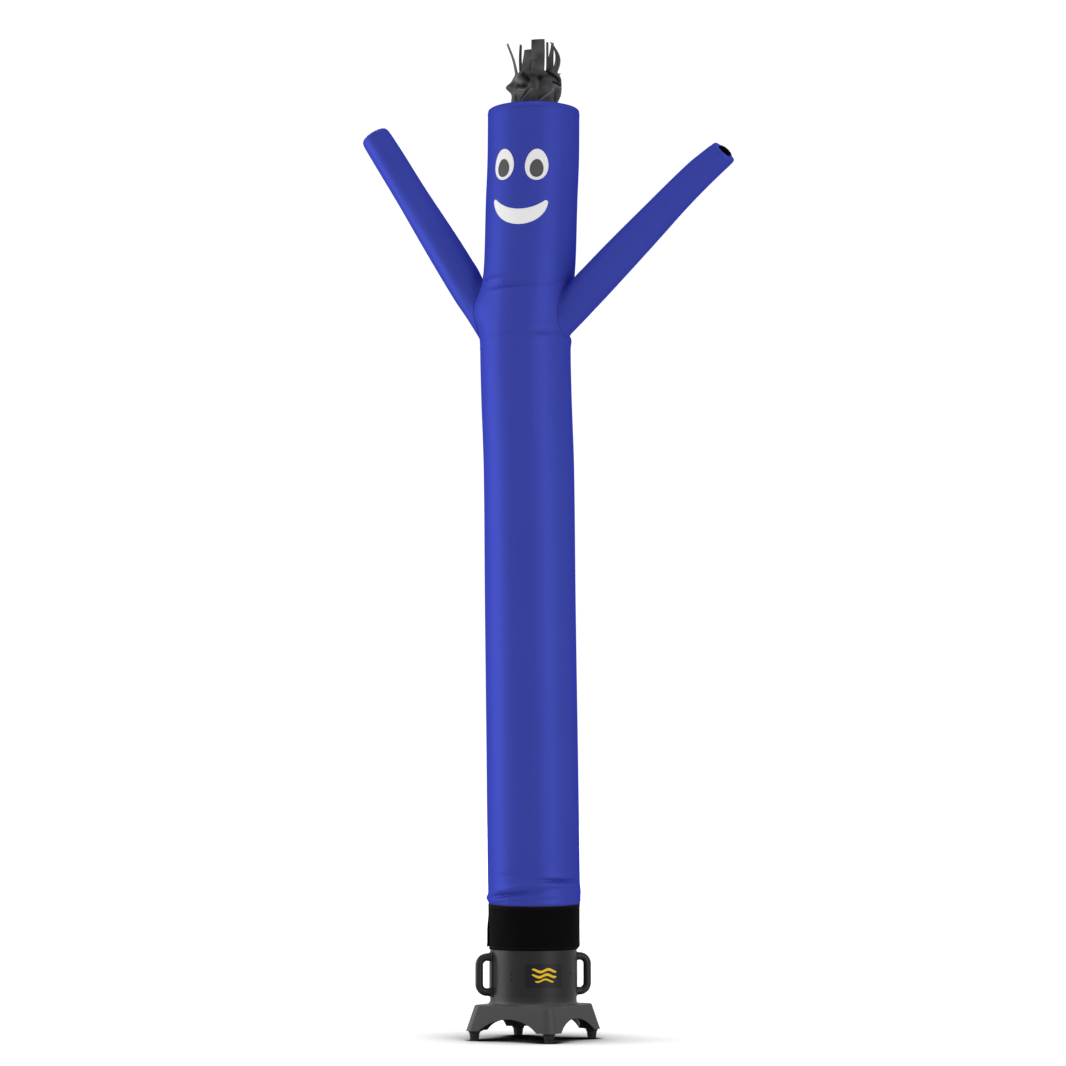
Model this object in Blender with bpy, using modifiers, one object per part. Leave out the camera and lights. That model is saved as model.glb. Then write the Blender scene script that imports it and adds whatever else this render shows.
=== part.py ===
"""Inflatable air dancer: a sewn cloth tube figure standing on its moulded blower base.

Metres, +Z up. The face looks along -Y and the arms reach out along -X and +X. The origin lies on
the ground, in the middle of the whole figure's footprint. Bearings are degrees round +Z from +X.
"""

from collections import namedtuple
from math import cos, degrees, exp, pi, radians, sin, sqrt, tau

import bmesh
import bpy
from mathutils import Matrix, Vector

# ---------------------------------------------------------------- driving dimensions

BASE_X = -0.0553  # the right arm reaches further than the left, so the base stands off the middle
FIT = 0.0003  # clearance between pieces that meet
CLOTH = 0.001  # thickness of the coated nylon
MERGE = 0.00001

# blower base
BASE_TURN = -14.0  # the square base stands turned under the figure, in degrees
LEG_FOOT_Z = 0.032  # underside of the legs
DECK_Z = 0.1165  # top of the square deck
DECK_HALF = 0.1502  # half side of the deck's top
SKIRT_HALF = 0.1713  # half side at the legs' undersides
CORNER_CUT = 0.0185  # chamfer on the skirt's four corners, along each side
ARCH_PEAK_Z = 0.074  # top of the arch between two legs
ARCH_HALF = 0.1115  # half width of the arch at the legs' undersides
DRUM_R = 0.1436
DRUM_WALL = 0.005
DRUM_TOP_Z = 0.418
DRUM_FILLET = 0.015
DRUM_EDGE = 0.002  # rounding of the drum's upper edge
HOLLOW_LOW_R = 0.158  # the cone-shaped hollow under the deck
HOLLOW_HIGH_R = 0.143
HOLLOW_TOP_Z = 0.108
LEG_STEP_R = 0.180  # the legs' lower ends are thinner, inside this radius
LEG_STEP_Z = 0.035
FOOT_AT_R = 0.201

# carrying handles
HANDLE_BAR_R = 0.0128
HANDLE_REACH = 0.1852
HANDLE_LOW_Z = 0.158
HANDLE_HIGH_Z = 0.2732
HANDLE_BEND = 0.026

# label plate and small fittings on the drum
LABEL_WIDTH = 0.1275
LABEL_LOW_Z = 0.177
LABEL_HIGH_Z = 0.254
LABEL_THICK = 0.001
SCREW_HEAD_R = 0.0028
SCREW_HEAD_H = 0.0016

# collar
COLLAR_R = 0.1505
COLLAR_SHIFT = 0.0036  # the band hangs a little towards +X
COLLAR_THICK = 0.0015
COLLAR_LOW_Z = 0.298
COLLAR_GRIP = 0.0010  # from the drum to the inside of the drawn-in lower hem's corners
COLLAR_START = 165.0  # bearing of the inner end; the band then runs round and overlaps itself
COLLAR_SWEEP = 396.0
TAIL_LIFT = 0.0021  # the overlapping end lies on the first layer
TAIL_STAND_OFF = 0.0046  # and its free corner stands away from it
TAIL_SHORT = 0.008  # the overlapping end is narrower below

# cloth figure
HEM_Z = 0.450
HEM_DIP = 0.0065  # the hem hangs lower at the front
HEM_GATHER = 0.0022  # and is drawn in by its seam with the collar
FRONT = 286.0  # bearing that the hem's dip faces
WAIST_SEAM_Z = 2.331
CHEST_SEAM_Z = 2.4915
HEAD_TOP_Z = 3.100
COLUMNS = 40
ARM_COLUMNS = 20

# hair
HAIR_THICK = 0.0015

# ---------------------------------------------------------------- tables

# how far the inflated tube leans along X from the base's axis
Lean = namedtuple("Lean", "height shift")
LEAN = [
    Lean(0.30, 0.0036),
    Lean(0.45, 0.0034),
    Lean(0.55, 0.0012),
    Lean(1.00, -0.0045),
    Lean(1.45, -0.0105),
    Lean(1.90, -0.0160),
    Lean(2.15, -0.0250),
    Lean(2.32, -0.0280),
    Lean(2.45, -0.0230),
    Lean(2.60, -0.0120),
    Lean(2.80, -0.0060),
    Lean(2.95, 0.0000),
    Lean(3.20, 0.0010),
    Lean(3.50, 0.0020),
]

# radius of the inflated tube
Girth = namedtuple("Girth", "height radius")
GIRTHS = [
    Girth(0.30, 0.1525),
    Girth(2.35, 0.1525),
    Girth(2.60, 0.1540),
    Girth(3.20, 0.1540),
]
HEAD_R = GIRTHS[-1].radius

# a ridge or trough across the cloth: its middle, how far it reaches round each way, its rise for
# each quarter turn, how far it moves the cloth outwards, and its half height
Fold = namedtuple("Fold", "bearing reach height climb out half_height")
HEM_FOLDS = [
    Fold(253, 64, 0.4815, 0.026, -0.0070, 0.0070),
    Fold(326, 48, 0.5255, -0.006, -0.0075, 0.0060),
    Fold(8, 55, 0.4900, 0.000, 0.0020, 0.0150),
    Fold(204, 40, 0.4690, 0.020, 0.0072, 0.0100),
    Fold(262, 60, 0.5050, 0.030, 0.0022, 0.0130),
    Fold(300, 30, 0.4650, 0.010, -0.0015, 0.0050),
    Fold(82, 58, 0.5010, -0.020, -0.0065, 0.0070),
    Fold(140, 42, 0.5300, 0.015, -0.0050, 0.0070),
    Fold(112, 50, 0.4720, 0.000, 0.0035, 0.0110),
]
CHEST_FOLDS = [
    Fold(180, 52, 2.4200, 0.000, 0.0080, 0.0700),
    Fold(0, 46, 2.4100, 0.000, 0.0040, 0.0600),
    Fold(246, 46, 2.5150, 0.000, 0.0020, 0.0140),
    Fold(312, 36, 2.3150, 0.000, 0.0015, 0.0160),
]
COLLAR_FOLDS = [
    Fold(318, 34, 0.3850, -0.010, -0.0014, 0.0060),
    Fold(70, 50, 0.3500, 0.012, -0.0012, 0.0070),
]

# where the seams draw the cloth in: bearing, reach and depth
Pinch = namedtuple("Pinch", "bearing reach depth")
CHEST_PINCHES = [Pinch(254, 58, 0.0042), Pinch(60, 60, 0.0030), Pinch(120, 50, 0.0020)]
WAIST_PINCHES = [Pinch(8, 46, 0.0050), Pinch(312, 46, 0.0022), Pinch(110, 70, 0.0025)]
PINCH_HALF = 0.009

# where the panels' rows of points lie, as shares of their height
CHEST_SHARES = [0, 0.08, 0.2, 0.4, 0.6, 0.8, 0.92, 1]
HEAD_SHARES = [0, 0.018, 0.05, 0.12, 0.35, 0.6, 0.8, 1]

# an arm: bearing, where its axis would start on the tube's middle line, its angle from upright,
# its length from there, and how far its end droops
Arm = namedtuple("Arm", "name bearing axis_x axis_z lean length droop")
ARMS = [
    Arm("arm_left", 180.0, -0.0240, 2.188, 31.96, 1.028, 0.000),
    Arm("arm_right", -8.0, -0.0228, 2.284, 47.30, 0.967, 0.014),
]
ARM_START = 0.06
ArmSection = namedtuple("ArmSection", "along arm_left arm_right")
ARM_SECTIONS = [  # along: share of the arm's length; then each arm's radius there
    ArmSection(0.00, 0.0550, 0.0600),
    ArmSection(0.28, 0.0565, 0.0610),
    ArmSection(0.36, 0.0605, 0.0615),
    ArmSection(0.46, 0.0608, 0.0605),
    ArmSection(0.60, 0.0580, 0.0572),
    ArmSection(0.75, 0.0540, 0.0527),
    ArmSection(0.90, 0.0518, 0.0492),
    ArmSection(1.00, 0.0508, 0.0480),
]
ArmEnd = namedtuple("ArmEnd", "before_end share")
ARM_END = [  # the drawn-in end and its hem, turned inwards round the vent: shares of the end radius
    ArmEnd(0.020, 0.990),
    ArmEnd(0.009, 0.930),
    ArmEnd(0.003, 0.800),
    ArmEnd(0.000, 0.545),
    ArmEnd(0.003, 0.520),
]

# the top panel, from its seam with the head over the shoulder to the edge round the hair
Ring = namedtuple("Ring", "radius height")
TOP_RINGS = [
    Ring(0.1540, 0.0000),
    Ring(0.1527, 0.0060),
    Ring(0.1483, 0.0115),
    Ring(0.1400, 0.0150),
    Ring(0.1160, 0.0195),
    Ring(0.0770, 0.0232),
]

# hair: the crumpled tube, then the strips that it is cut into
HairRing = namedtuple("HairRing", "radius height shift")
HAIR_LOW_Z = HEAD_TOP_Z + 2.5 * FIT + TOP_RINGS[-1].height  # its root is on the top panel's edge
HAIR_TUBE = [
    HairRing(0.0787, 0.000, 0.000),
    HairRing(0.0785, 0.014, 0.002),
    HairRing(0.0815, 0.038, 0.010),
    HairRing(0.0845, 0.0615, 0.0126),
    HairRing(0.0830, 0.088, 0.0115),
    HairRing(0.0715, 0.112, 0.0118),
]
HAIR_FOLDS = [
    Fold(198, 34, 3.1880, 0.000, 0.0200, 0.0170),
    Fold(16, 60, 3.2200, 0.000, 0.0040, 0.0200),
]
HAIR_COLUMNS = 48
# a strip: first and last column, top height, how far its top moves out from the tube's mouth,
# how far its middle bellies out, and how far its top swings round, in degrees
Strip = namedtuple("Strip", "first last top out belly swing")
STRIPS = [
    Strip(36, 41, 3.340, 0.004, 0.001, 0),
    Strip(32, 35, 3.307, -0.002, 0.001, 7),
    Strip(26, 28, 3.338, 0.030, -0.003, 0),
    Strip(20, 22, 3.346, -0.006, 0.002, 0),
    Strip(16, 18, 3.300, -0.010, 0.002, -3),
    Strip(12, 14, 3.352, -0.006, 0.002, 0),
    Strip(8, 10, 3.352, -0.004, -0.002, 0),
    Strip(2, 5, 3.240, 0.006, 0.004, 0),
    Strip(44, 47, 3.337, -0.0135, 0.0195, 0),
]
STRIP_RISES = 6
HAIR_CREASES = 7
HAIR_CREASE_OUT = 0.0042

# face
Eye = namedtuple("Eye", "side bearing height")
EYES = [Eye("left", -22.7, 2.9080), Eye("right", 21.1, 2.9025)]
EYE_HALF_WIDTH = 0.0392
EYE_HALF_HEIGHT = 0.0520
PUPIL_DROP = 0.0125
PUPIL_HALF_WIDTH = 0.0226
PUPIL_HALF_HEIGHT = 0.0300
EGG = 0.10  # eyes and pupils are wider below their middles
PATCH_THICK = 0.001
PATCH_LIFT = 0.0005
MOUTH_Z = 2.729  # middle of the smile's centre line
MOUTH_TILT = -0.050  # its left end is higher
MOUTH_BEND_R = 0.109
MOUTH_HALF_ANGLE = 58.0
MOUTH_TIP_R = 0.0078
MOUTH_SWELL = 0.0178

# ---------------------------------------------------------------- small tools


def clear_scene():
    """Start from nothing, the start-up cube included."""
    for obj in list(bpy.data.objects):
        bpy.data.objects.remove(obj, do_unlink=True)


def new_collection(name):
    """A collection in the scene."""
    collection = bpy.data.collections.new(name)
    bpy.context.scene.collection.children.link(collection)
    return collection


def material(name, colour, roughness, metallic=0.0):
    """A plain Principled material, made once for each name."""
    made = bpy.data.materials.get(name)
    if made:
        return made
    made = bpy.data.materials.new(name)
    made.use_nodes = True
    made.diffuse_color = (*colour, 1.0)
    shader = made.node_tree.nodes["Principled BSDF"]
    shader.inputs["Base Color"].default_value = (*colour, 1.0)
    shader.inputs["Roughness"].default_value = roughness
    shader.inputs["Metallic"].default_value = metallic
    return made


def blue_nylon():
    return material("blue_nylon", (0.035, 0.055, 0.50), 0.45)


def black_nylon():
    return material("black_nylon", (0.030, 0.030, 0.032), 0.40)


def black_webbing():
    return material("black_webbing", (0.006, 0.006, 0.008), 0.80)


def white_vinyl():
    return material("white_vinyl", (0.90, 0.90, 0.90), 0.50)


def grey_vinyl():
    return material("grey_vinyl", (0.10, 0.10, 0.10), 0.60)


def charcoal_plastic():
    return material("charcoal_plastic", (0.055, 0.055, 0.058), 0.45)


def label_vinyl():
    return material("label_vinyl", (0.012, 0.010, 0.018), 0.35)


def foot_rubber():
    return material("foot_rubber", (0.020, 0.020, 0.022), 0.75)


def screw_steel():
    return material("screw_steel", (0.30, 0.30, 0.32), 0.35, 1.0)


def add_object(name, mesh, collection, finish=None):
    """Put a mesh in the scene as a named object with its material, smoothly shaded."""
    obj = bpy.data.objects.new(name, mesh)
    collection.objects.link(obj)
    if finish:
        mesh.materials.append(finish)
        mesh.shade_smooth()
        mesh.set_sharp_from_angle(angle=radians(40))
    else:
        obj.hide_render = True
        obj.display_type = "WIRE"
    return obj


def grid_mesh(name, rows, around):
    """A surface through rows of points; `around` closes each row on itself."""
    bm = bmesh.new()
    grid = [[bm.verts.new(point) for point in row] for row in rows]
    for low, high in zip(grid, grid[1:]):
        count = len(low) if around else len(low) - 1
        for i in range(count):
            j = (i + 1) % len(low)
            bm.faces.new((low[i], low[j], high[j], high[i]))
    mesh = bpy.data.meshes.new(name)
    bm.to_mesh(mesh)
    bm.free()
    return mesh


def capped_mesh(name, rows):
    """A solid through closed rows of points, with a flat cap at each end."""
    mesh = grid_mesh(name, rows, around=True)
    bm = bmesh.new()
    bm.from_mesh(mesh)
    bmesh.ops.holes_fill(bm, edges=bm.edges, sides=0)
    bmesh.ops.recalc_face_normals(bm, faces=bm.faces)
    bm.to_mesh(mesh)
    bm.free()
    return mesh


def thicken(obj, thickness, side=-1.0):
    """Give an open surface its thickness: side -1 goes inwards, +1 outwards."""
    solidify = obj.modifiers.new("thickness", "SOLIDIFY")
    solidify.thickness = thickness
    solidify.offset = side
    return solidify


def boolean(obj, other, operation):
    """Cut or join an object with another."""
    modifier = obj.modifiers.new(operation.lower(), "BOOLEAN")
    modifier.operation = operation
    modifier.solver = "EXACT"
    modifier.object = other


def cylinder_mesh(name, low_radius, high_radius, low_z, high_z, sides):
    """An upright cylinder or cone on the Z axis."""
    bm = bmesh.new()
    bmesh.ops.create_cone(
        bm, cap_ends=True, segments=sides, radius1=low_radius, radius2=high_radius,
        depth=high_z - low_z,
        matrix=Matrix.Translation((0, 0, (low_z + high_z) / 2)),
    )
    mesh = bpy.data.meshes.new(name)
    bm.to_mesh(mesh)
    bm.free()
    return mesh


def read_table(rows, at):
    """Smooth value at a place, through rows of (place, value)."""
    last = len(rows) - 1
    index = next((i for i in range(last) if at <= rows[i + 1][0]), last - 1)

    def slope(i):
        low, high = max(i - 1, 0), min(i + 1, last)
        return (rows[high][1] - rows[low][1]) / (rows[high][0] - rows[low][0])

    (place, value), (next_place, next_value) = rows[index], rows[index + 1]
    span = next_place - place
    t = min(max((at - place) / span, 0.0), 1.0)
    from_value = value * (2 * t**3 - 3 * t**2 + 1) + next_value * (3 * t**2 - 2 * t**3)
    from_slope = slope(index) * (t**3 - 2 * t**2 + t) + slope(index + 1) * (t**3 - t**2)
    return from_value + span * from_slope


def turn_between(bearing, middle):
    """Signed degrees from `middle` to `bearing`, within half a turn."""
    return (bearing - middle + 180.0) % 360.0 - 180.0


def window(bearing, middle, reach):
    """1 at the middle bearing, fading to 0 at `reach` degrees to each side."""
    away = abs(turn_between(bearing, middle))
    return cos(pi / 2 * away / reach) ** 2 if away < reach else 0.0


def fold_out(folds, bearing, height):
    """How far the folds move the cloth outwards at a place."""
    total = 0.0
    for fold in folds:
        turn = turn_between(bearing, fold.bearing)
        line = fold.height + fold.climb * turn / 90.0
        total += (
            fold.out * window(bearing, fold.bearing, fold.reach)
            * exp(-(((height - line) / fold.half_height) ** 2))
        )
    return total


# ---------------------------------------------------------------- the figure's skin


def hem_z(bearing):
    """Height of the blue tube's hem."""
    return HEM_Z - HEM_DIP * cos(radians(bearing - FRONT))


def waist_z(bearing):
    """Height of the seam under the arms; it runs lower below each arm."""
    side = cos(radians(bearing))
    return WAIST_SEAM_Z - (0.026 if side < 0 else 0.003) * side * side


def chest_z(bearing):
    """Height of the seam over the arms; it runs higher above each arm."""
    side = cos(radians(bearing))
    return CHEST_SEAM_Z + (0.066 if side < 0 else 0.034) * side * side


def seam_pinch(pinches, bearing, above_seam):
    """How far a seam draws the cloth in."""
    depth = sum(p.depth * window(bearing, p.bearing, p.reach) for p in pinches)
    return depth * exp(-((above_seam / PINCH_HALF) ** 2))


def skin_radius(bearing, height):
    """Radius of the inflated tube at a place, its folds and seams included."""
    radius = read_table(GIRTHS, height)
    radius += fold_out(HEM_FOLDS, bearing, height) + fold_out(CHEST_FOLDS, bearing, height)
    radius -= seam_pinch(WAIST_PINCHES, bearing, height - waist_z(bearing))
    radius -= seam_pinch(CHEST_PINCHES, bearing, height - chest_z(bearing))
    gather = HEM_GATHER * exp(-(((height - hem_z(bearing)) / 0.004) ** 2))
    return radius - gather


def round_point(bearing, radius, height):
    """A point at a radius round the leaning figure's middle."""
    angle = radians(bearing)
    x = BASE_X + read_table(LEAN, height) + radius * cos(angle)
    return Vector((x, radius * sin(angle), height))


def skin_rows(low, high, shares, out=0.0):
    """Rows of points on the skin between two edges that are functions of the bearing."""
    rows = []
    for share in shares:
        row = []
        for i in range(COLUMNS):
            bearing = 360.0 * i / COLUMNS
            height = low(bearing) + share * (high(bearing) - low(bearing))
            row.append(round_point(bearing, skin_radius(bearing, height) + out, height))
        rows.append(row)
    return rows


def body_shares():
    """Row places on the body tube: close together in the hem's folds and under the seam."""
    length = WAIST_SEAM_Z - HEM_Z
    low = [0.0, 0.006, 0.014, 0.022, 0.030, 0.038, 0.046, 0.054, 0.064, 0.074, 0.084, 0.096, 0.115]
    middle = [0.16, 0.40, 0.75, 1.10, 1.45]
    high = [1.66, 1.78, 1.845, 1.868]
    return [place / length for place in low + middle + high] + [1.0]


def make_skin(name, low, high, shares, collection):
    """A sewn panel that goes right round the figure."""
    panel = add_object(name, grid_mesh(name, skin_rows(low, high, shares), True), collection, blue_nylon())
    thicken(panel, CLOTH)
    return panel


def make_top(collection):
    """The panel over the head, from its shoulder to the edge round the hair."""
    rows = []
    for ring in TOP_RINGS:
        height = HEAD_TOP_Z + FIT + ring.height
        rows.append([round_point(360.0 * i / COLUMNS, ring.radius, height) for i in range(COLUMNS)])
    top = add_object("top_panel", grid_mesh("top_panel", rows, True), collection, blue_nylon())
    thicken(top, CLOTH)


# ---------------------------------------------------------------- arms


def arm_axis(arm):
    """The arm's start on the tube's middle line, its direction, and the way its end droops."""
    outwards = Vector((cos(radians(arm.bearing)), sin(radians(arm.bearing)), 0.0))
    lean = radians(arm.lean)
    direction = outwards * sin(lean) + Vector((0, 0, cos(lean)))
    below = outwards * cos(lean) - Vector((0, 0, sin(lean)))
    start = Vector((BASE_X + arm.axis_x, 0.0, arm.axis_z))
    return start, direction, below


def arm_rings(arm, inset=0.0, with_end=True):
    """Rings of points along an arm; `inset` moves them towards its axis."""
    start, direction, below = arm_axis(arm)
    side = direction.cross(below)
    length = arm.length
    sections = [(row.along, getattr(row, arm.name)) for row in ARM_SECTIONS]
    steps = [ARM_START / length, 0.24, 0.32, 0.40, 0.50, 0.64, 0.78, 0.90]
    places = [(share * length, read_table(sections, share)) for share in steps]
    if with_end:
        end_radius = sections[-1][1]
        places += [(length - row.before_end, end_radius * row.share) for row in ARM_END]
    else:
        places = places[:4]
    rings = []
    for along, radius in places:
        bend = max(along / length - 0.7, 0.0) / 0.3
        middle = start + direction * along + below * arm.droop * bend * bend
        ring = []
        for i in range(ARM_COLUMNS):
            angle = tau * i / ARM_COLUMNS
            ring.append(middle + (below * cos(angle) + side * sin(angle)) * (radius - inset))
        rings.append(ring)
    return rings


def make_arm(arm, core, collection):
    """A tapered sleeve, cut where it meets the chest and open at its drawn-in end."""
    mesh = grid_mesh(arm.name, arm_rings(arm), True)
    bm = bmesh.new()
    bm.from_mesh(mesh)
    bmesh.ops.recalc_face_normals(bm, faces=bm.faces)
    if sum(f.normal.dot(f.calc_center_median() - arm_axis(arm)[0]) for f in bm.faces) < 0:
        bmesh.ops.reverse_faces(bm, faces=bm.faces)
    bm.to_mesh(mesh)
    bm.free()
    sleeve = add_object(arm.name, mesh, collection, blue_nylon())
    thicken(sleeve, CLOTH)
    boolean(sleeve, core, "DIFFERENCE")


def make_figure(collection, cutters):
    """Body tube, chest, head, top panel and arms."""
    make_skin("body_tube", hem_z, lambda b: waist_z(b) - FIT, body_shares(), collection)
    chest = make_skin("chest_panel", waist_z, chest_z, CHEST_SHARES, collection)
    make_skin("head_panel", lambda b: chest_z(b) + FIT, lambda b: HEAD_TOP_Z, HEAD_SHARES, collection)
    make_top(collection)

    # the inflated middle, a clearance larger than the cloth, which the sleeves are cut back to
    core_rows = skin_rows(lambda b: waist_z(b) - 0.2, waist_z, [0, 0.8, 0.95], FIT)
    core_rows += skin_rows(waist_z, chest_z, CHEST_SHARES, FIT)
    core_rows += skin_rows(chest_z, lambda b: chest_z(b) + 0.2, [0.05, 0.2, 1], FIT)
    core = add_object("chest_core", capped_mesh("chest_core", core_rows), cutters)
    for arm in ARMS:
        hole_name = arm.name + "_hole"
        rings = arm_rings(arm, inset=CLOTH, with_end=False)
        hole = add_object(hole_name, capped_mesh(hole_name, rings), cutters)
        boolean(chest, hole, "DIFFERENCE")
        make_arm(arm, core, collection)


# ---------------------------------------------------------------- face


def head_point(across, height, lift):
    """A point on the face: `across` is the distance along the cloth from its middle, to +X."""
    bearing = 270.0 + degrees(across / HEAD_R)
    return round_point(bearing, skin_radius(bearing, height) + lift, height)


def make_patch(name, rows, around, finish, collection):
    """A cloth patch: rows of points on the head, thickened outwards."""
    mesh = grid_mesh(name, rows, around)
    bm = bmesh.new()
    bm.from_mesh(mesh)
    if around:
        bmesh.ops.contextual_create(bm, geom=[v for v in bm.verts[-len(rows[-1]):]])
    bmesh.ops.recalc_face_normals(bm, faces=bm.faces)
    if sum(face.normal.y * face.calc_area() for face in bm.faces) > 0:
        bmesh.ops.reverse_faces(bm, faces=bm.faces)
    bm.to_mesh(mesh)
    bm.free()
    patch = add_object(name, mesh, collection, finish)
    thicken(patch, PATCH_THICK, 1.0)


def egg_rows(across, height, half_width, half_height, lift, sides=20):
    """Rings of an egg-shaped patch, from its edge to near its middle."""
    rows = []
    for share in (1.0, 0.66, 0.33):
        row = []
        for i in range(sides):
            angle = tau * i / sides
            up = sin(angle) * share
            side = cos(angle) * share * (1.0 - EGG * up)
            row.append(head_point(across + half_width * side, height + half_height * up, lift))
        rows.append(row)
    return rows


def mouth_rows():
    """Columns across the smile, from tip to tip, with a round end at each."""
    stations = []
    steps = 17
    for i in range(steps + 1):
        t = 2 * i / steps - 1
        half = MOUTH_TIP_R + MOUTH_SWELL * max(1 - t * t, 0.0) ** 0.85
        stations.append((radians(MOUTH_HALF_ANGLE) * t, half))
    for turn in (30, 60, 85):
        half = MOUTH_TIP_R * cos(radians(turn))
        angle = radians(MOUTH_HALF_ANGLE) + MOUTH_TIP_R * sin(radians(turn)) / MOUTH_BEND_R
        stations.insert(0, (-angle, half))
        stations.append((angle, half))
    columns = []
    for angle, half in stations:
        column = []
        for across in (-1, -0.33, 0.33, 1):
            reach = MOUTH_BEND_R + across * half
            side = reach * sin(angle)
            height = MOUTH_Z + MOUTH_BEND_R - reach * cos(angle) + MOUTH_TILT * side
            column.append(head_point(side, height, PATCH_LIFT))
        columns.append(column)
    return columns


def make_face(collection):
    """Two eye patches with pupils, and the smile."""
    pupil_lift = PATCH_LIFT + PATCH_THICK + FIT
    for eye in EYES:
        across = radians(eye.bearing) * HEAD_R
        white = egg_rows(across, eye.height, EYE_HALF_WIDTH, EYE_HALF_HEIGHT, PATCH_LIFT)
        make_patch("eye_white_" + eye.side, white, True, white_vinyl(), collection)
        low = eye.height - PUPIL_DROP
        pupil = egg_rows(across, low, PUPIL_HALF_WIDTH, PUPIL_HALF_HEIGHT, pupil_lift, 16)
        make_patch("pupil_" + eye.side, pupil, True, grey_vinyl(), collection)
    make_patch("mouth", mouth_rows(), False, white_vinyl(), collection)


# ---------------------------------------------------------------- hair


def hair_wave(bearing, height):
    """The crumple of the hair's cloth; it dies out towards the sewn root."""
    rise = min(max((height - HAIR_LOW_Z) / 0.05, 0.0), 1.0)
    angle = radians(bearing)
    wave = sin(HAIR_CREASES * angle + 34.0 * (height - HAIR_LOW_Z))
    wave += 0.6 * sin(4 * angle - 48.0 * (height - HAIR_LOW_Z) + 1.3)
    return HAIR_CREASE_OUT * rise * wave


def hair_point(bearing, radius, height, shift):
    """A point round the hair's middle, which leans to +X from the head's."""
    return round_point(bearing, radius, height) + Vector((shift, 0, 0))


def make_hair(collection):
    """One crumpled tube of black nylon whose upper part is cut into strips."""
    bm = bmesh.new()
    grid = []
    for ring in HAIR_TUBE:
        row = []
        for i in range(HAIR_COLUMNS):
            bearing = 360.0 * i / HAIR_COLUMNS
            height = HAIR_LOW_Z + ring.height
            radius = ring.radius + hair_wave(bearing, height) + fold_out(HAIR_FOLDS, bearing, height)
            row.append(bm.verts.new(hair_point(bearing, radius, height, ring.shift)))
        grid.append(row)
    for low, high in zip(grid, grid[1:]):
        for i in range(HAIR_COLUMNS):
            j = (i + 1) % HAIR_COLUMNS
            bm.faces.new((low[i], low[j], high[j], high[i]))
    mouth = HAIR_TUBE[-1]
    mouth_z = HAIR_LOW_Z + mouth.height
    for strip in STRIPS:
        below = grid[-1][strip.first:strip.last + 1]
        for step in range(1, STRIP_RISES + 1):
            t = step / STRIP_RISES
            height = mouth_z + t * (strip.top - mouth_z)
            row = []
            for i in range(strip.first, strip.last + 1):
                bearing = 360.0 * i / HAIR_COLUMNS
                radius = mouth.radius + hair_wave(bearing, mouth_z) * (1 - 0.6 * t)
                radius += strip.out * t + strip.belly * sin(pi * t)
                place = hair_point(bearing + strip.swing * t, radius, height, mouth.shift)
                row.append(bm.verts.new(place))
            for i in range(len(row) - 1):
                bm.faces.new((below[i], below[i + 1], row[i + 1], row[i]))
            below = row
    mesh = bpy.data.meshes.new("hair")
    bm.to_mesh(mesh)
    bm.free()
    hair = add_object("hair", mesh, collection, black_nylon())
    thicken(hair, HAIR_THICK)


# ---------------------------------------------------------------- collar


def smooth_step(value):
    """0 up to 0, 1 from 1 on, and a smooth rise between."""
    value = min(max(value, 0.0), 1.0)
    return value * value * (3 - 2 * value)


def collar_radius(swept, height):
    """Outer radius of the band, and how much of its hang towards +X it has there."""
    bearing = COLLAR_START + swept
    tail = smooth_step((swept - 318.0) / 36.0)
    free = smooth_step((swept - 366.0) / 30.0) * smooth_step((0.420 - height) / 0.060)
    drawn_in = exp(-(((height - COLLAR_LOW_Z) / 0.007) ** 2)) * (1 - tail)
    radius = COLLAR_R + fold_out(COLLAR_FOLDS, bearing, height) * (1 - tail)
    radius += TAIL_LIFT * tail + TAIL_STAND_OFF * free
    radius -= (COLLAR_R - COLLAR_THICK - DRUM_R - COLLAR_GRIP) * drawn_in
    return radius, 1 - drawn_in


def make_collar(collection):
    """A band of black webbing cloth round the drum, overlapping itself at one side."""
    columns = 44
    shares = [0.0, 0.02, 0.055, 0.12, 0.45, 0.575, 0.70, 1.0]
    rows = []
    for share in shares:
        row = []
        for i in range(columns + 1):
            swept = COLLAR_SWEEP * i / columns
            angle = radians(COLLAR_START + swept)
            top = hem_z(COLLAR_START + swept) - FIT
            low = COLLAR_LOW_Z + TAIL_SHORT * smooth_step((swept - 318.0) / 36.0)
            height = low + share * (top - low)
            radius, hang = collar_radius(swept, height)
            x = BASE_X + COLLAR_SHIFT * hang + radius * cos(angle)
            row.append(Vector((x, radius * sin(angle), height)))
        rows.append(row)
    collar = add_object("collar", grid_mesh("collar", rows, False), collection, black_webbing())
    thicken(collar, COLLAR_THICK)


# ---------------------------------------------------------------- blower base


def base_place(turn=0.0):
    """Puts something modelled round the base's own axis in its place."""
    return Matrix.Translation((BASE_X, 0, 0)) @ Matrix.Rotation(radians(BASE_TURN + turn), 4, "Z")


def turned(name, profile, sides, collection, finish=None):
    """A profile of (radius, height), outer side top to bottom, turned round the Z axis."""
    mesh = bpy.data.meshes.new(name)
    bm = bmesh.new()
    verts = [bm.verts.new((radius, 0, height)) for radius, height in profile]
    for first, second in zip(verts, verts[1:]):
        bm.edges.new((first, second))
    bm.to_mesh(mesh)
    bm.free()
    obj = add_object(name, mesh, collection, finish)
    screw = obj.modifiers.new("turn", "SCREW")
    screw.axis = "Z"
    screw.steps = sides
    screw.render_steps = sides
    screw.use_merge_vertices = True
    screw.merge_threshold = MERGE
    return obj


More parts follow.
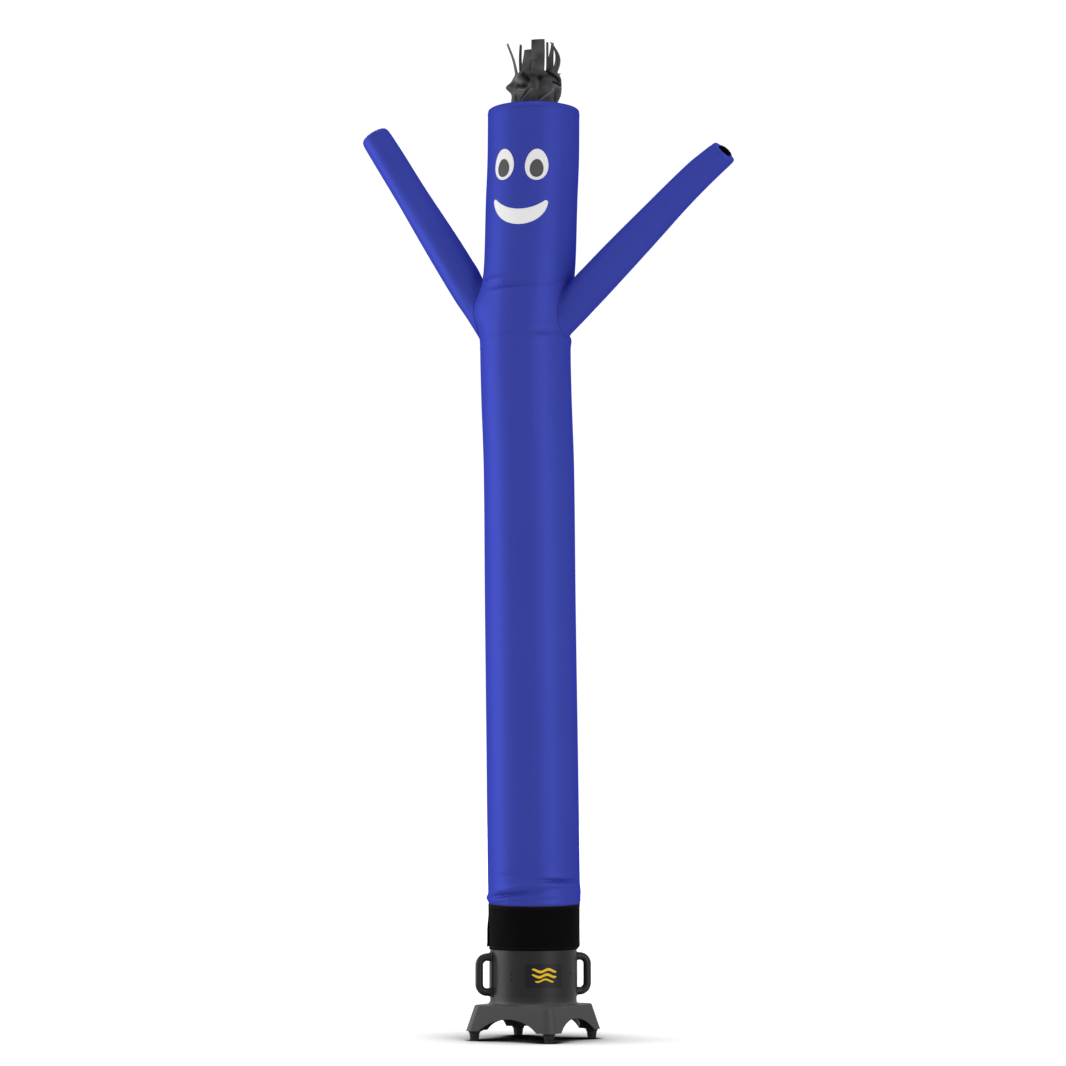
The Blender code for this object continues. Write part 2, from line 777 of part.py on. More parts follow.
def drum_profile():
    """The drum's outside: its wall, and the fillet that spreads onto the deck."""
    steps = 5
    profile = [(0.0, DRUM_TOP_Z), (DRUM_R - DRUM_EDGE, DRUM_TOP_Z), (DRUM_R, DRUM_TOP_Z - DRUM_EDGE)]
    for i in range(steps + 1):
        angle = pi / 2 * i / steps
        radius = DRUM_R + DRUM_FILLET * (1 - cos(angle))
        profile.append((radius, DECK_Z - 0.0015 + DRUM_FILLET * (1 - sin(angle))))
    profile += [(DRUM_R + DRUM_FILLET, DECK_Z - 0.006), (0.0, DECK_Z - 0.006)]
    return profile


def skirt_mesh(name):
    """The square deck and skirt: a four-sided cone frustum with its corner edges cut off."""
    mesh = cylinder_mesh(name, SKIRT_HALF * sqrt(2), DECK_HALF * sqrt(2), LEG_FOOT_Z, DECK_Z, 4)
    bm = bmesh.new()
    bm.from_mesh(mesh)
    corners = [e for e in bm.edges if abs(e.verts[0].co.z - e.verts[1].co.z) > 0.01]
    bmesh.ops.bevel(bm, geom=corners, offset=CORNER_CUT, segments=1, affect="EDGES")
    bmesh.ops.rotate(bm, matrix=Matrix.Rotation(pi / 4, 3, "Z"), verts=bm.verts)
    rim = [e for e in bm.edges if min(v.co.z for v in e.verts) > DECK_Z - 0.001]
    bmesh.ops.bevel(bm, geom=rim, offset=0.004, segments=2, profile=0.5, affect="EDGES")
    bm.to_mesh(mesh)
    bm.free()
    return mesh


def make_housing(collection, cutters):
    """The moulded blower housing: drum, deck, skirt and four legs, hollow and open both ways."""
    housing = add_object("housing", skirt_mesh("housing"), collection, charcoal_plastic())
    housing.matrix_world = base_place()
    drum = turned("drum_form", drum_profile(), 48, cutters)
    bore = add_object(
        "bore_cut",
        cylinder_mesh("bore_cut", DRUM_R - DRUM_WALL, DRUM_R - DRUM_WALL, 0.09, 0.45, 48), cutters
    )
    slope = (HOLLOW_HIGH_R - HOLLOW_LOW_R) / (HOLLOW_TOP_Z - LEG_FOOT_Z)
    low = LEG_FOOT_Z - 0.02
    hollow = add_object(
        "hollow_cut",
        cylinder_mesh("hollow_cut", HOLLOW_LOW_R - 0.02 * slope, HOLLOW_HIGH_R, low, HOLLOW_TOP_Z, 48),
        cutters,
    )
    step = add_object(
        "leg_step_cut", cylinder_mesh("leg_step_cut", LEG_STEP_R, LEG_STEP_R, low, LEG_STEP_Z, 48),
        cutters
    )
    for part in (drum, bore, hollow, step):
        part.matrix_world = base_place()
    boolean(housing, drum, "UNION")
    for part in (bore, hollow, step):
        boolean(housing, part, "DIFFERENCE")
    rise = ARCH_PEAK_Z - LEG_FOOT_Z
    arch_r = (ARCH_HALF**2 + rise**2) / (2 * rise)
    for number in range(2):
        name = f"arch_cut_{number + 1}"
        arch = add_object(name, cylinder_mesh(name, arch_r, arch_r, -0.3, 0.3, 72), cutters)
        lie_down = Matrix.Translation((0, 0, ARCH_PEAK_Z - arch_r)) @ Matrix.Rotation(pi / 2, 4, "X")
        arch.matrix_world = base_place(90.0 * number) @ lie_down
        boolean(housing, arch, "DIFFERENCE")


def handle_points():
    """Centre line of a handle in its own X-Z plane, from inside the drum and back."""
    inside = DRUM_R - 0.012
    points = [(inside, HANDLE_HIGH_Z)]
    steps = 5
    middle = HANDLE_REACH - HANDLE_BEND
    for i in range(steps + 1):
        angle = pi / 2 * (1 - i / steps)
        points.append((middle + HANDLE_BEND * cos(angle),
                       HANDLE_HIGH_Z - HANDLE_BEND + HANDLE_BEND * sin(angle)))
    for i in range(steps + 1):
        angle = -pi / 2 * i / steps
        points.append((middle + HANDLE_BEND * cos(angle),
                       HANDLE_LOW_Z + HANDLE_BEND + HANDLE_BEND * sin(angle)))
    points.append((inside, HANDLE_LOW_Z))
    return points


def tube_mesh(name, points, radius):
    """A bevelled curve through points, made a closed mesh."""
    curve = bpy.data.curves.new(name, "CURVE")
    curve.dimensions = "3D"
    curve.bevel_depth = radius
    curve.bevel_resolution = 3
    curve.use_fill_caps = True
    spline = curve.splines.new("POLY")
    spline.points.add(len(points) - 1)
    for point, (x, z) in zip(spline.points, points):
        point.co = (x, 0.0, z, 1.0)
    obj = bpy.data.objects.new(name, curve)
    bpy.context.scene.collection.objects.link(obj)
    depsgraph = bpy.context.evaluated_depsgraph_get()
    mesh = bpy.data.meshes.new_from_object(obj.evaluated_get(depsgraph))
    bpy.data.objects.remove(obj, do_unlink=True)
    bm = bmesh.new()
    bm.from_mesh(mesh)
    bmesh.ops.remove_doubles(bm, verts=bm.verts, dist=MERGE)
    bmesh.ops.recalc_face_normals(bm, faces=bm.faces)
    bm.to_mesh(mesh)
    bm.free()
    return mesh


def make_handles(collection, cutters):
    """Two D-shaped handles, over the left and right corners of the base."""
    drum_skin = add_object(
        "drum_skin_cut",
        cylinder_mesh("drum_skin_cut", DRUM_R + FIT, DRUM_R + FIT, 0.10, 0.35, 96), cutters
    )
    drum_skin.matrix_world = base_place()
    for side, corner in (("left", 225.0), ("right", 45.0)):
        name = "handle_" + side
        mesh = tube_mesh(name, handle_points(), HANDLE_BAR_R)
        handle = add_object(name, mesh, collection, charcoal_plastic())
        handle.matrix_world = base_place(corner)
        boolean(handle, drum_skin, "DIFFERENCE")


def make_feet(collection):
    """Four rubber feet under the legs."""
    top = LEG_FOOT_Z - FIT
    profile = [
        (0.0, top), (0.0175, top), (0.0175, 0.0265), (0.0145, 0.0205),
        (0.0128, 0.0020), (0.0112, 0.0), (0.0, 0.0),
    ]
    for name, corner in (("rear", 135.0), ("left", 225.0), ("front", 315.0), ("right", 45.0)):
        foot = turned("foot_" + name, profile, 18, collection, foot_rubber())
        foot.matrix_world = base_place(corner) @ Matrix.Translation((FOOT_AT_R, 0, 0))


def drum_point(bearing, height, radius):
    """A point round the drum, at a bearing in the base's own frame."""
    angle = radians(bearing)
    return base_place() @ Vector((radius * cos(angle), radius * sin(angle), height))


def make_label(collection):
    """The bare label plate on the drum, over the front corner."""
    radius = DRUM_R + FIT
    half = degrees(LABEL_WIDTH / 2 / radius)
    steps = 12
    rows = []
    for height in (LABEL_LOW_Z, LABEL_HIGH_Z):
        row = []
        for i in range(steps + 1):
            row.append(drum_point(315.0 - half + 2 * half * i / steps, height, radius))
        rows.append(row)
    plate = add_object("label_plate", grid_mesh("label_plate", rows, False), collection, label_vinyl())
    thicken(plate, LABEL_THICK, 1.0)


def make_fittings(collection):
    """Screw heads on the drum, and the gland where the mains lead leaves it."""
    seat = DRUM_R + FIT
    r, h = SCREW_HEAD_R, SCREW_HEAD_H
    dome = [(0.0, h), (0.55 * r, 0.88 * h), (0.9 * r, 0.45 * h), (r, 0.0), (0.0, 0.0)]
    for name, bearing, height in (
        ("screw_left_high", 270.0, 0.222), ("screw_left_low", 270.0, 0.203),
        ("screw_right", 0.0, 0.222),
    ):
        screw = turned(name, dome, 10, collection, screw_steel())
        turn = Matrix.Rotation(pi / 2, 4, "Y")
        screw.matrix_world = base_place(bearing) @ Matrix.Translation((seat, 0, height)) @ turn
    gland = [
        (0.0, 0.024), (0.0055, 0.024), (0.0062, 0.016), (0.0085, 0.015), (0.0085, 0.006),
        (0.0120, 0.005), (0.0120, 0.0), (0.0, 0.0),
    ]
    nut = turned("cable_gland", gland, 16, collection, foot_rubber())
    turn = Matrix.Rotation(pi / 2, 4, "Y")
    nut.matrix_world = base_place(135.0) @ Matrix.Translation((seat + 0.0006, 0, 0.160)) @ turn


# ---------------------------------------------------------------- build


def main():
    """Model the whole air dancer."""
    clear_scene()
    model = new_collection("air_dancer")
    cutters = new_collection("cutters")
    make_housing(model, cutters)
    make_handles(model, cutters)
    make_feet(model)
    make_label(model)
    make_fittings(model)
    make_collar(model)
    make_figure(model, cutters)
    make_face(model)
    make_hair(model)


main()
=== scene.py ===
"""Visual model of an inflatable air dancer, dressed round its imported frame.

Metres, +Z up. The face looks along -Y. Bearings are degrees round +Z from +X.
"""

from collections import namedtuple
from functools import cached_property
from math import cos, pi, radians, sin, sqrt, tau

import bmesh
import bpy
import numpy as np
from mathutils import Matrix, Vector
from mathutils.kdtree import KDTree


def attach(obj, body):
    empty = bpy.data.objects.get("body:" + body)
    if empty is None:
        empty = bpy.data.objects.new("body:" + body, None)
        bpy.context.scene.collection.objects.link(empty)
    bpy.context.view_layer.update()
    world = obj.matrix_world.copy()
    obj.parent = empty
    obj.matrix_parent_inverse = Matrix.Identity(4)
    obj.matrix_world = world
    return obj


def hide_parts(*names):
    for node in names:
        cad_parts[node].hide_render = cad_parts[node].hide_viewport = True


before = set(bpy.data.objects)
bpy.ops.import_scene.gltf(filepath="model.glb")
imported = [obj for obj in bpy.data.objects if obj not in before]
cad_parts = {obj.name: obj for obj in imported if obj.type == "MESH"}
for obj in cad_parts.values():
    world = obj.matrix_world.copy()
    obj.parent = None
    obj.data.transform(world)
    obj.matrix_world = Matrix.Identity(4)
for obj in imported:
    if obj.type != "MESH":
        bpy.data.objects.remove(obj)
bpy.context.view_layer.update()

# ---------------------------------------------------------------- sizes, as the frame has them

BASE_X = -0.0553
FIT = 0.0003
CLOTH = 0.001

BASE_TURN = -14.0
LEG_FOOT_Z = 0.032
DECK_Z = 0.1165
DECK_HALF = 0.1502
SKIRT_HALF = 0.1713
CORNER_ROUND = 0.03145
ARCH_PEAK_Z = 0.074
ARCH_HALF = 0.1115
DRUM_R = 0.1436
DRUM_WALL = 0.005
DRUM_TOP_Z = 0.418
DRUM_FILLET = 0.015
HOLLOW_LOW_R = 0.158
HOLLOW_HIGH_R = 0.143
HOLLOW_TOP_Z = 0.108
LEG_STEP_R = 0.180
LEG_STEP_Z = 0.035
FOOT_AT_R = 0.201
CORNERS = {"rear": 135.0, "left": 225.0, "front": 315.0, "right": 45.0}

HANDLE_BAR_R = 0.0128
HANDLE_REACH = 0.1852
HANDLE_LOW_Z = 0.158
HANDLE_HIGH_Z = 0.2732
HANDLE_BEND = 0.026

LABEL_WIDTH = 0.1275
LABEL_LOW_Z = 0.177
LABEL_HIGH_Z = 0.254
SCREW_HEAD_R = 0.0028
SCREW_HEAD_H = 0.0016

COLLAR_R = 0.1505
COLLAR_SHIFT = 0.0036
COLLAR_THICK = 0.0015
COLLAR_LOW_Z = 0.298
COLLAR_GRIP = 0.0010
COLLAR_START = 165.0
COLLAR_SWEEP = 396.0
TAIL_LIFT = 0.0021
TAIL_STAND_OFF = 0.0046
TAIL_SHORT = 0.008

HEM_Z = 0.450
HEM_DIP = 0.0065
HEM_GATHER = 0.0022
HEM_LOW_AT = 286.0  # the bearing where the hem dips most
WAIST_SEAM_Z = 2.331
CHEST_SEAM_Z = 2.4915
HEAD_TOP_Z = 3.100

Lean = namedtuple("Lean", "height shift")
LEAN = [
    Lean(0.3, 0.0036),
    Lean(0.45, 0.0034),
    Lean(0.55, 0.0012),
    Lean(1, -0.0045),
    Lean(1.45, -0.0105),
    Lean(1.9, -0.016),
    Lean(2.15, -0.025),
    Lean(2.32, -0.028),
    Lean(2.45, -0.023),
    Lean(2.6, -0.012),
    Lean(2.8, -0.006),
    Lean(2.95, 0),
    Lean(3.2, 0.001),
    Lean(3.5, 0.002),
]
Girth = namedtuple("Girth", "height radius")
GIRTHS = [
    Girth(0.3, 0.1525),
    Girth(2.35, 0.1525),
    Girth(2.6, 0.154),
    Girth(3.2, 0.154),
]
HEAD_R = GIRTHS[-1].radius

Fold = namedtuple("Fold", "bearing reach height climb out half_height")
HEM_FOLDS = [
    Fold(256, 66, 0.4815, 0.026, -0.0088, 0.0062),
    Fold(324, 52, 0.5262, -0.006, -0.0085, 0.0055),
    Fold(322, 50, 0.54, 0, 0.0026, 0.011),
    Fold(318, 56, 0.512, 0.004, 0.0024, 0.008),
    Fold(250, 60, 0.499, 0.03, 0.003, 0.01),
    Fold(246, 60, 0.466, 0.02, 0.0026, 0.007),
    Fold(262, 44, 0.545, 0.02, -0.0016, 0.01),
    Fold(8, 55, 0.49, 0, 0.002, 0.015),
    Fold(204, 40, 0.469, 0.02, 0.0072, 0.01),
    Fold(262, 60, 0.505, 0.03, 0.0022, 0.013),
    Fold(300, 30, 0.465, 0.01, -0.0015, 0.005),
    Fold(82, 58, 0.501, -0.02, -0.0065, 0.007),
    Fold(140, 42, 0.53, 0.015, -0.005, 0.007),
    Fold(112, 50, 0.472, 0, 0.0035, 0.011),
]
CHEST_FOLDS = [
    Fold(186, 60, 2.434, 0, 0.029, 0.062),
    Fold(0, 46, 2.41, 0, 0.004, 0.06),
    Fold(268, 42, 2.504, 0.0125, -0.008, 0.0088),
    Fold(238, 36, 2.525, 0.006, 0.0034, 0.01),
    Fold(258, 48, 2.488, 0.008, 0.0024, 0.0105),
    Fold(312, 36, 2.329, 0, 0.0015, 0.016),
]
COLLAR_FOLDS = [
    Fold(318, 34, 0.385, -0.01, -0.0014, 0.006),
    Fold(70, 50, 0.35, 0.012, -0.0012, 0.007),
]
Pinch = namedtuple("Pinch", "bearing reach depth")
CHEST_PINCHES = [Pinch(330, 40, 0.0012), Pinch(60, 60, 0.0036), Pinch(120, 50, 0.003)]
WAIST_PINCHES = [Pinch(8, 46, 0.005), Pinch(308, 40, 0.003), Pinch(110, 70, 0.003)]
PINCH_HALF = 0.0075

Arm = namedtuple("Arm", "name bearing axis_x axis_z lean length droop vent_turn vent_tilt shy")
ARMS = [
    Arm("arm_left", 180, -0.024, 2.188, 31.96, 1.028, 0, 1.8, 0.004, 0.002),
    Arm("arm_right", -8, -0.0228, 2.284, 47.3, 0.967, 0.014, -1.4, 0.013, 0.0065),
]
ArmSection = namedtuple("ArmSection", "along arm_left arm_right")
ARM_SECTIONS = [
    ArmSection(0, 0.055, 0.06),
    ArmSection(0.28, 0.0565, 0.061),
    ArmSection(0.36, 0.0605, 0.0615),
    ArmSection(0.46, 0.0608, 0.0605),
    ArmSection(0.6, 0.058, 0.0572),
    ArmSection(0.75, 0.054, 0.0527),
    ArmSection(0.9, 0.0518, 0.0492),
    ArmSection(1, 0.0508, 0.048),
]
ArmEnd = namedtuple("ArmEnd", "before_end share")
ARM_END = [  # from the sleeve's side over the drawn-in end to the hem inside the vent
    ArmEnd(0.03, 1),
    ArmEnd(0.021, 0.994),
    ArmEnd(0.015, 0.98),
    ArmEnd(0.01, 0.95),
    ArmEnd(0.006, 0.9),
    ArmEnd(0.003, 0.83),
    ArmEnd(0.0012, 0.75),
    ArmEnd(0.0003, 0.66),
    ArmEnd(0, 0.59),
    ArmEnd(0.0005, 0.55),
    ArmEnd(0.002, 0.532),
    ArmEnd(0.006, 0.526),
    ArmEnd(0.012, 0.53),
]

Ring = namedtuple("Ring", "radius height")
TOP_RINGS = [
    Ring(0.1543, 0),
    Ring(0.154, 0.0038),
    Ring(0.1532, 0.0075),
    Ring(0.152, 0.01),
    Ring(0.1492, 0.0125),
    Ring(0.144, 0.0154),
    Ring(0.135, 0.0184),
    Ring(0.12, 0.0208),
    Ring(0.1, 0.0224),
    Ring(0.087, 0.0231),
    Ring(0.077, 0.0232),
]

HairRing = namedtuple("HairRing", "height radius shift")
HAIR_LOW_Z = HEAD_TOP_Z + 2.5 * FIT + TOP_RINGS[-1].height
HAIR_TUBE = [
    HairRing(0, 0.0787, 0),
    HairRing(0.014, 0.0785, 0.002),
    HairRing(0.038, 0.0815, 0.01),
    HairRing(0.0615, 0.0845, 0.0126),
    HairRing(0.088, 0.083, 0.0115),
    HairRing(0.112, 0.0715, 0.0118),
]
HAIR_FOLDS = [
    Fold(198, 34, 3.188, 0, 0.02, 0.015),
    Fold(16, 60, 3.22, 0, 0.004, 0.02),
]
HAIR_THICK = 0.0010
Crease = namedtuple("Crease", "bearing height to_bearing to_height out half")
HAIR_CREASE_LINES = [  # heights are above the sewn root
    Crease(267, 0.0955, 293, 0.084, -0.003, 0.015),
    Crease(293, 0.084, 325, 0.0985, -0.003, 0.015),
    Crease(293, 0.083, 293, 0.046, -0.0026, 0.009),
    Crease(284, 0.086, 288, 0.05, 0.0014, 0.01),
    Crease(250, 0.098, 264, 0.078, -0.0072, 0.014),
    Crease(228, 0.088, 248, 0.07, 0.0052, 0.014),
    Crease(234, 0.062, 262, 0.056, -0.0048, 0.013),
    Crease(238, 0.05, 256, 0.043, 0.0035, 0.008),
    Crease(256, 0.043, 268, 0.06, 0.0035, 0.008),
    Crease(267, 0.045, 251, 0.014, -0.0035, 0.006),
    Crease(271, 0.045, 256, 0.012, 0.0035, 0.008),
    Crease(328, 0.05, 301, 0.006, 0.0042, 0.01),
    Crease(322, 0.046, 296, 0.01, -0.0026, 0.007),
    Crease(328, 0.073, 352, 0.066, -0.005, 0.01),
    Crease(332, 0.062, 356, 0.055, 0.0035, 0.011),
    Crease(318, 0.11, 344, 0.082, -0.0075, 0.011),
    Crease(340, 0.04, 350, 0.012, -0.003, 0.01),
    Crease(228, 0.03, 240, 0.008, -0.003, 0.01),
    Crease(12, 0.058, 4, 0.1, -0.0037, 0.015),
    Crease(30, 0.02, 46, 0.07, -0.0037, 0.014),
    Crease(46, 0.07, 64, 0.094, 0.0037, 0.013),
    Crease(64, 0.04, 86, 0.022, 0.004, 0.014),
    Crease(86, 0.022, 104, 0.078, -0.0045, 0.014),
    Crease(104, 0.078, 124, 0.096, 0.0034, 0.012),
    Crease(128, 0.026, 146, 0.066, 0.004, 0.014),
    Crease(146, 0.066, 160, 0.034, -0.0045, 0.013),
    Crease(160, 0.09, 178, 0.07, 0.0034, 0.013),
]
HAIR_COLUMNS = 48
Strip = namedtuple("Strip", "first last top out belly swing narrow")
STRIPS = [
    Strip(36, 41, 3.34, 0.004, 0.001, 0, 0.06),
    Strip(32, 35, 3.307, -0.002, 0.001, 9, -0.1),
    Strip(24, 28, 3.338, 0.03, -0.003, 0, 0.1),
    Strip(20, 22, 3.346, 0.003, 0.002, -2, 0.35),
    Strip(16, 18, 3.3, -0.01, 0.002, -3, 0),
    Strip(13, 15, 3.352, -0.006, 0.002, 0, 0),
    Strip(7, 12, 3.352, -0.004, -0.002, -14, 0.72),
    Strip(2, 5, 3.24, 0.006, 0.004, 0, 0),
    Strip(44, 47, 3.337, -0.0135, 0.0195, 0, 0.4),
    Strip(42, 43, 3.335, -0.011, 0.001, 3, 0),
]
HAIR_CREASES = 7
HAIR_CREASE_OUT = 0.003
HAIR_PER_DEGREE = 0.00138  # metres round the hair for each degree

Eye = namedtuple("Eye", "side bearing height")
EYES = [Eye("left", -22.7, 2.9080), Eye("right", 21.1, 2.9025)]
EYE_HALF_WIDTH = 0.0392
EYE_HALF_HEIGHT = 0.0520
PUPIL_DROP = 0.0125
PUPIL_HALF_WIDTH = 0.0226
PUPIL_HALF_HEIGHT = 0.0300
EGG = 0.10
MOUTH_Z = 2.729
MOUTH_TILT = -0.050
MOUTH_BEND_R = 0.109
MOUTH_HALF_ANGLE = 58.0
MOUTH_TIP_R = 0.0078
MOUTH_SWELL = 0.0178

# ---------------------------------------------------------------- numbers along tables


def read_table(rows, at):
    """Smooth values at places, through rows of (place, value)."""
    place, value = np.array([(row[0], row[1]) for row in rows], float).T
    last = len(rows) - 1
    low = np.maximum(np.arange(last + 1) - 1, 0)
    high = np.minimum(np.arange(last + 1) + 1, last)
    slope = (value[high] - value[low]) / (place[high] - place[low])
    at = np.asarray(at, float)
    i = np.clip(np.searchsorted(place, at) - 1, 0, last - 1)
    span = place[i + 1] - place[i]
    t = np.clip((at - place[i]) / span, 0, 1)
    level = value[i] * (2 * t**3 - 3 * t**2 + 1) + value[i + 1] * (3 * t**2 - 2 * t**3)
    return level + span * (slope[i] * (t**3 - 2 * t**2 + t) + slope[i + 1] * (t**3 - t**2))


def read_column(rows, column, at):
    """Smooth values of one named column at row numbers, which may lie between two rows."""
    return read_table([(i, getattr(row, column)) for i, row in enumerate(rows)], at)


def turn_from(middle, bearing):
    """Degrees from a middle bearing, from -180 to 180."""
    return (bearing - middle + 180.0) % 360.0 - 180.0


def window(bearing, middle, reach):
    """1 at the middle bearing, fading to 0 at `reach` degrees to each side."""
    away = np.abs(turn_from(middle, bearing))
    return np.where(away < reach, np.cos(np.minimum(pi / 2 * away / reach, pi / 2)) ** 2, 0.0)


def hump(away, width):
    """1 at 0, falling off to both sides."""
    return np.exp(-((away / width) ** 2))


def smooth_step(value):
    """0 up to 0, 1 from 1 on, and a smooth rise between."""
    value = np.clip(value, 0, 1)
    return value * value * (3 - 2 * value)


def fold_out(folds, bearing, height):
    """How far the folds move the cloth outwards at a place."""
    total = 0.0
    for fold in folds:
        line = fold.height + fold.climb * turn_from(fold.bearing, bearing) / 90.0
        rise = hump(height - line, fold.half_height)
        total = total + fold.out * window(bearing, fold.bearing, fold.reach) * rise
    return total


def spaced(*stretches):
    """Places along a line: each stretch is (start, end, steps), and the last place is the end."""
    parts = [np.linspace(low, high, steps, endpoint=False) for low, high, steps in stretches]
    return np.concatenate(parts + [[stretches[-1][1]]])


def circle(count):
    """Angles all the way round, in radians."""
    return tau * np.arange(count) / count


# ---------------------------------------------------------------- the inflated skin

SEAM_BAND = 0.0085  # width of the cloth folded over at a seam
SEAM_RISE = 0.0005
SEAM_EDGE = 0.0018  # over which the folded cloth steps up
PINCH_SHOULDER = 0.022  # from a pinched seam to where the cloth swells again
SHOULDER_SHARE = 0.45
SEAM_ROWS = (0.0022, 0.0064)  # the two rows of stitches below a seam


def hem_z(bearing):
    return HEM_Z - HEM_DIP * np.cos(np.radians(bearing - HEM_LOW_AT))


def waist_z(bearing):
    side = np.cos(np.radians(bearing))
    return WAIST_SEAM_Z + 0.0145 - np.where(side < 0, 0.0405, -0.002) * side * side


def chest_z(bearing):
    side = np.cos(np.radians(bearing))
    return CHEST_SEAM_Z + np.where(side < 0, 0.066, 0.034) * side * side


def head_top_z(bearing):
    return HEAD_TOP_Z + 0 * bearing


def seam_pinch(pinches, bearing, above_seam):
    """How far a seam draws the cloth in."""
    depth = sum(p.depth * window(bearing, p.bearing, p.reach) for p in pinches)
    shoulder = hump(np.abs(above_seam) - PINCH_SHOULDER, PINCH_SHOULDER / 2)
    return depth * (hump(above_seam, PINCH_HALF) - SHOULDER_SHARE * shoulder)


def gathers(bearing, above_seam, reach=0.020):
    """Fine puckers beside a seam."""
    angle = np.radians(bearing)
    wave = np.sin(29 * angle + 1.7 * np.sin(5 * angle)) + 0.7 * np.sin(47 * angle + 2.1)
    wave = wave * (0.6 + 0.4 * np.sin(3 * angle + 0.8))
    return wave * hump(above_seam, reach) * smooth_step((np.abs(above_seam) - 0.002) / 0.006)


def breathing(bearing, height):
    """Long, slight unevenness of cloth held up by moving air."""
    angle = np.radians(bearing)
    slow = np.sin(2 * angle + 2.3 * height) + 0.6 * np.sin(3 * angle - 3.1 * height + 1.0)
    return slow + 0.35 * np.sin(5 * angle + 5.2 * height + 2.0)


def skin_radius(bearing, height):
    """Radius of the inflated tube at a place, its folds, seams and unevenness included."""
    radius = read_table(GIRTHS, height)
    radius = radius + fold_out(HEM_FOLDS + CHEST_FOLDS, bearing, height)
    radius = radius - seam_pinch(WAIST_PINCHES, bearing, height - waist_z(bearing))
    radius = radius - seam_pinch(CHEST_PINCHES, bearing, height - chest_z(bearing))
    radius = radius - HEM_GATHER * hump(height - hem_z(bearing), 0.004)
    for seam, depth in ((waist_z, 0.0005), (chest_z, 0.0006), (head_top_z, 0.0003)):
        radius = radius + depth * gathers(bearing, height - seam(bearing))
    radius = radius + 0.0007 * gathers(bearing, height - hem_z(bearing), 0.030)
    return radius + 0.0005 * breathing(bearing, height)


def on_axis(x, radius, height, angle):
    """Points at a radius round an upright line, whose own x may change with height."""
    across = (x + radius * np.cos(angle), radius * np.sin(angle), height)
    return np.stack(np.broadcast_arrays(*across), axis=-1)


def round_point(bearing, radius, height):
    """Points at a radius round the leaning figure's middle."""
    return on_axis(BASE_X + read_table(LEAN, height), radius, height, np.radians(bearing))


def face_point(across, height, lift):
    """Points on the head: `across` is the distance along the cloth from the face's middle."""
    bearing = 270.0 + np.degrees(across / HEAD_R)
    return round_point(bearing, skin_radius(bearing, height) + lift, height)


def skin_ring(seam, lift, below):
    """A closed line of points on the skin, a little below a seam."""
    bearing = np.degrees(circle(480))
    height = seam(bearing) - below
    return round_point(bearing, skin_radius(bearing, height) + lift, height), True


# ---------------------------------------------------------------- meshes


def quad_mesh(name, points, faces, corner_uv):
    """A mesh of four-sided faces, with a UV map in metres."""
    used, faces = np.unique(faces, return_inverse=True)
    faces = faces.reshape(-1, 4)
    mesh = bpy.data.meshes.new(name)
    mesh.vertices.add(len(used))
    mesh.vertices.foreach_set("co", points[used].astype(np.float32).ravel())
    mesh.loops.add(faces.size)
    mesh.loops.foreach_set("vertex_index", faces.astype(np.int32).ravel())
    mesh.polygons.add(len(faces))
    mesh.polygons.foreach_set("loop_start", np.arange(0, faces.size, 4, dtype=np.int32))
    layer = mesh.uv_layers.new(name="cloth")
    layer.data.foreach_set("uv", corner_uv.astype(np.float32).ravel())
    mesh.update(calc_edges=True)
    mesh.validate()
    return mesh


def cloth_mesh(name, points, uv, around, thickness, keep=None, folded=None):
    """A closed sheet: its outer side through a grid of points, its inner side, and its edges.

    `around` joins each row's end to its start; `keep` says which of the grid's faces are cloth,
    and `folded` how deep in a fold each point is, kept on the mesh for painted shade in folds and a
    painted highlight on ridges.
    """
    rows, columns = points.shape[:2]
    if around:
        across = np.roll(points, -1, axis=1) - np.roll(points, 1, axis=1)
        lap = uv[:, :1] + (uv[:, -1:] - uv[:, :1]) * columns / (columns - 1)
        uv = np.concatenate([uv, lap], axis=1)
    else:
        across = np.gradient(points, axis=1)
    normal = np.cross(across, np.gradient(points, axis=0))
    normal /= np.maximum(np.linalg.norm(normal, axis=-1, keepdims=True), 1e-12)
    count = rows * columns
    row = np.arange(rows - 1)[:, None]
    column = np.arange(columns if around else columns - 1)[None, :]
    steps = ((0, 0), (0, 1), (1, 1), (1, 0))
    corners = [(row + down) * columns + (column + over) % columns for down, over in steps]
    outer = np.stack(corners, axis=-1)
    corner_uv = np.stack([uv[row + down, column + over] for down, over in steps], axis=2)
    if keep is not None:
        outer, corner_uv = outer[keep], corner_uv[keep]
    outer, corner_uv = outer.reshape(-1, 4), corner_uv.reshape(-1, 4, 2)

    # an edge of the outer side that no face runs along the other way is on the sheet's rim
    start, end = outer.ravel(), np.roll(outer, -1, axis=1).ravel()
    start_uv, end_uv = (side.reshape(-1, 2) for side in (corner_uv, np.roll(corner_uv, -1, axis=1)))
    rim = ~np.isin(end.astype(np.int64) * count + start, start.astype(np.int64) * count + end)
    start, end, start_uv, end_uv = start[rim], end[rim], start_uv[rim], end_uv[rim]
    edges = np.stack([end, start, start + count, end + count], axis=-1)
    rim_uv = np.stack([end_uv, start_uv, start_uv, end_uv], axis=1)
    faces = np.concatenate([outer, outer[:, ::-1] + count, edges])
    all_uv = np.concatenate([corner_uv, corner_uv[:, ::-1], rim_uv])
    both = np.concatenate([points.reshape(-1, 3), (points - normal * thickness).reshape(-1, 3)])
    mesh = quad_mesh(name, both, faces, all_uv)
    if folded is not None:
        # the fold depth, which the hair's finish turns into painted shade and a painted highlight
        depth = mesh.attributes.new("folded", "FLOAT", "CORNER")
        depth.data.foreach_set("value", folded.ravel()[faces.ravel() % count].astype(np.float32))
    return mesh


def placed(name, data):
    """An object in the scene."""
    obj = bpy.data.objects.new(name, data)
    bpy.context.scene.collection.objects.link(obj)
    return obj


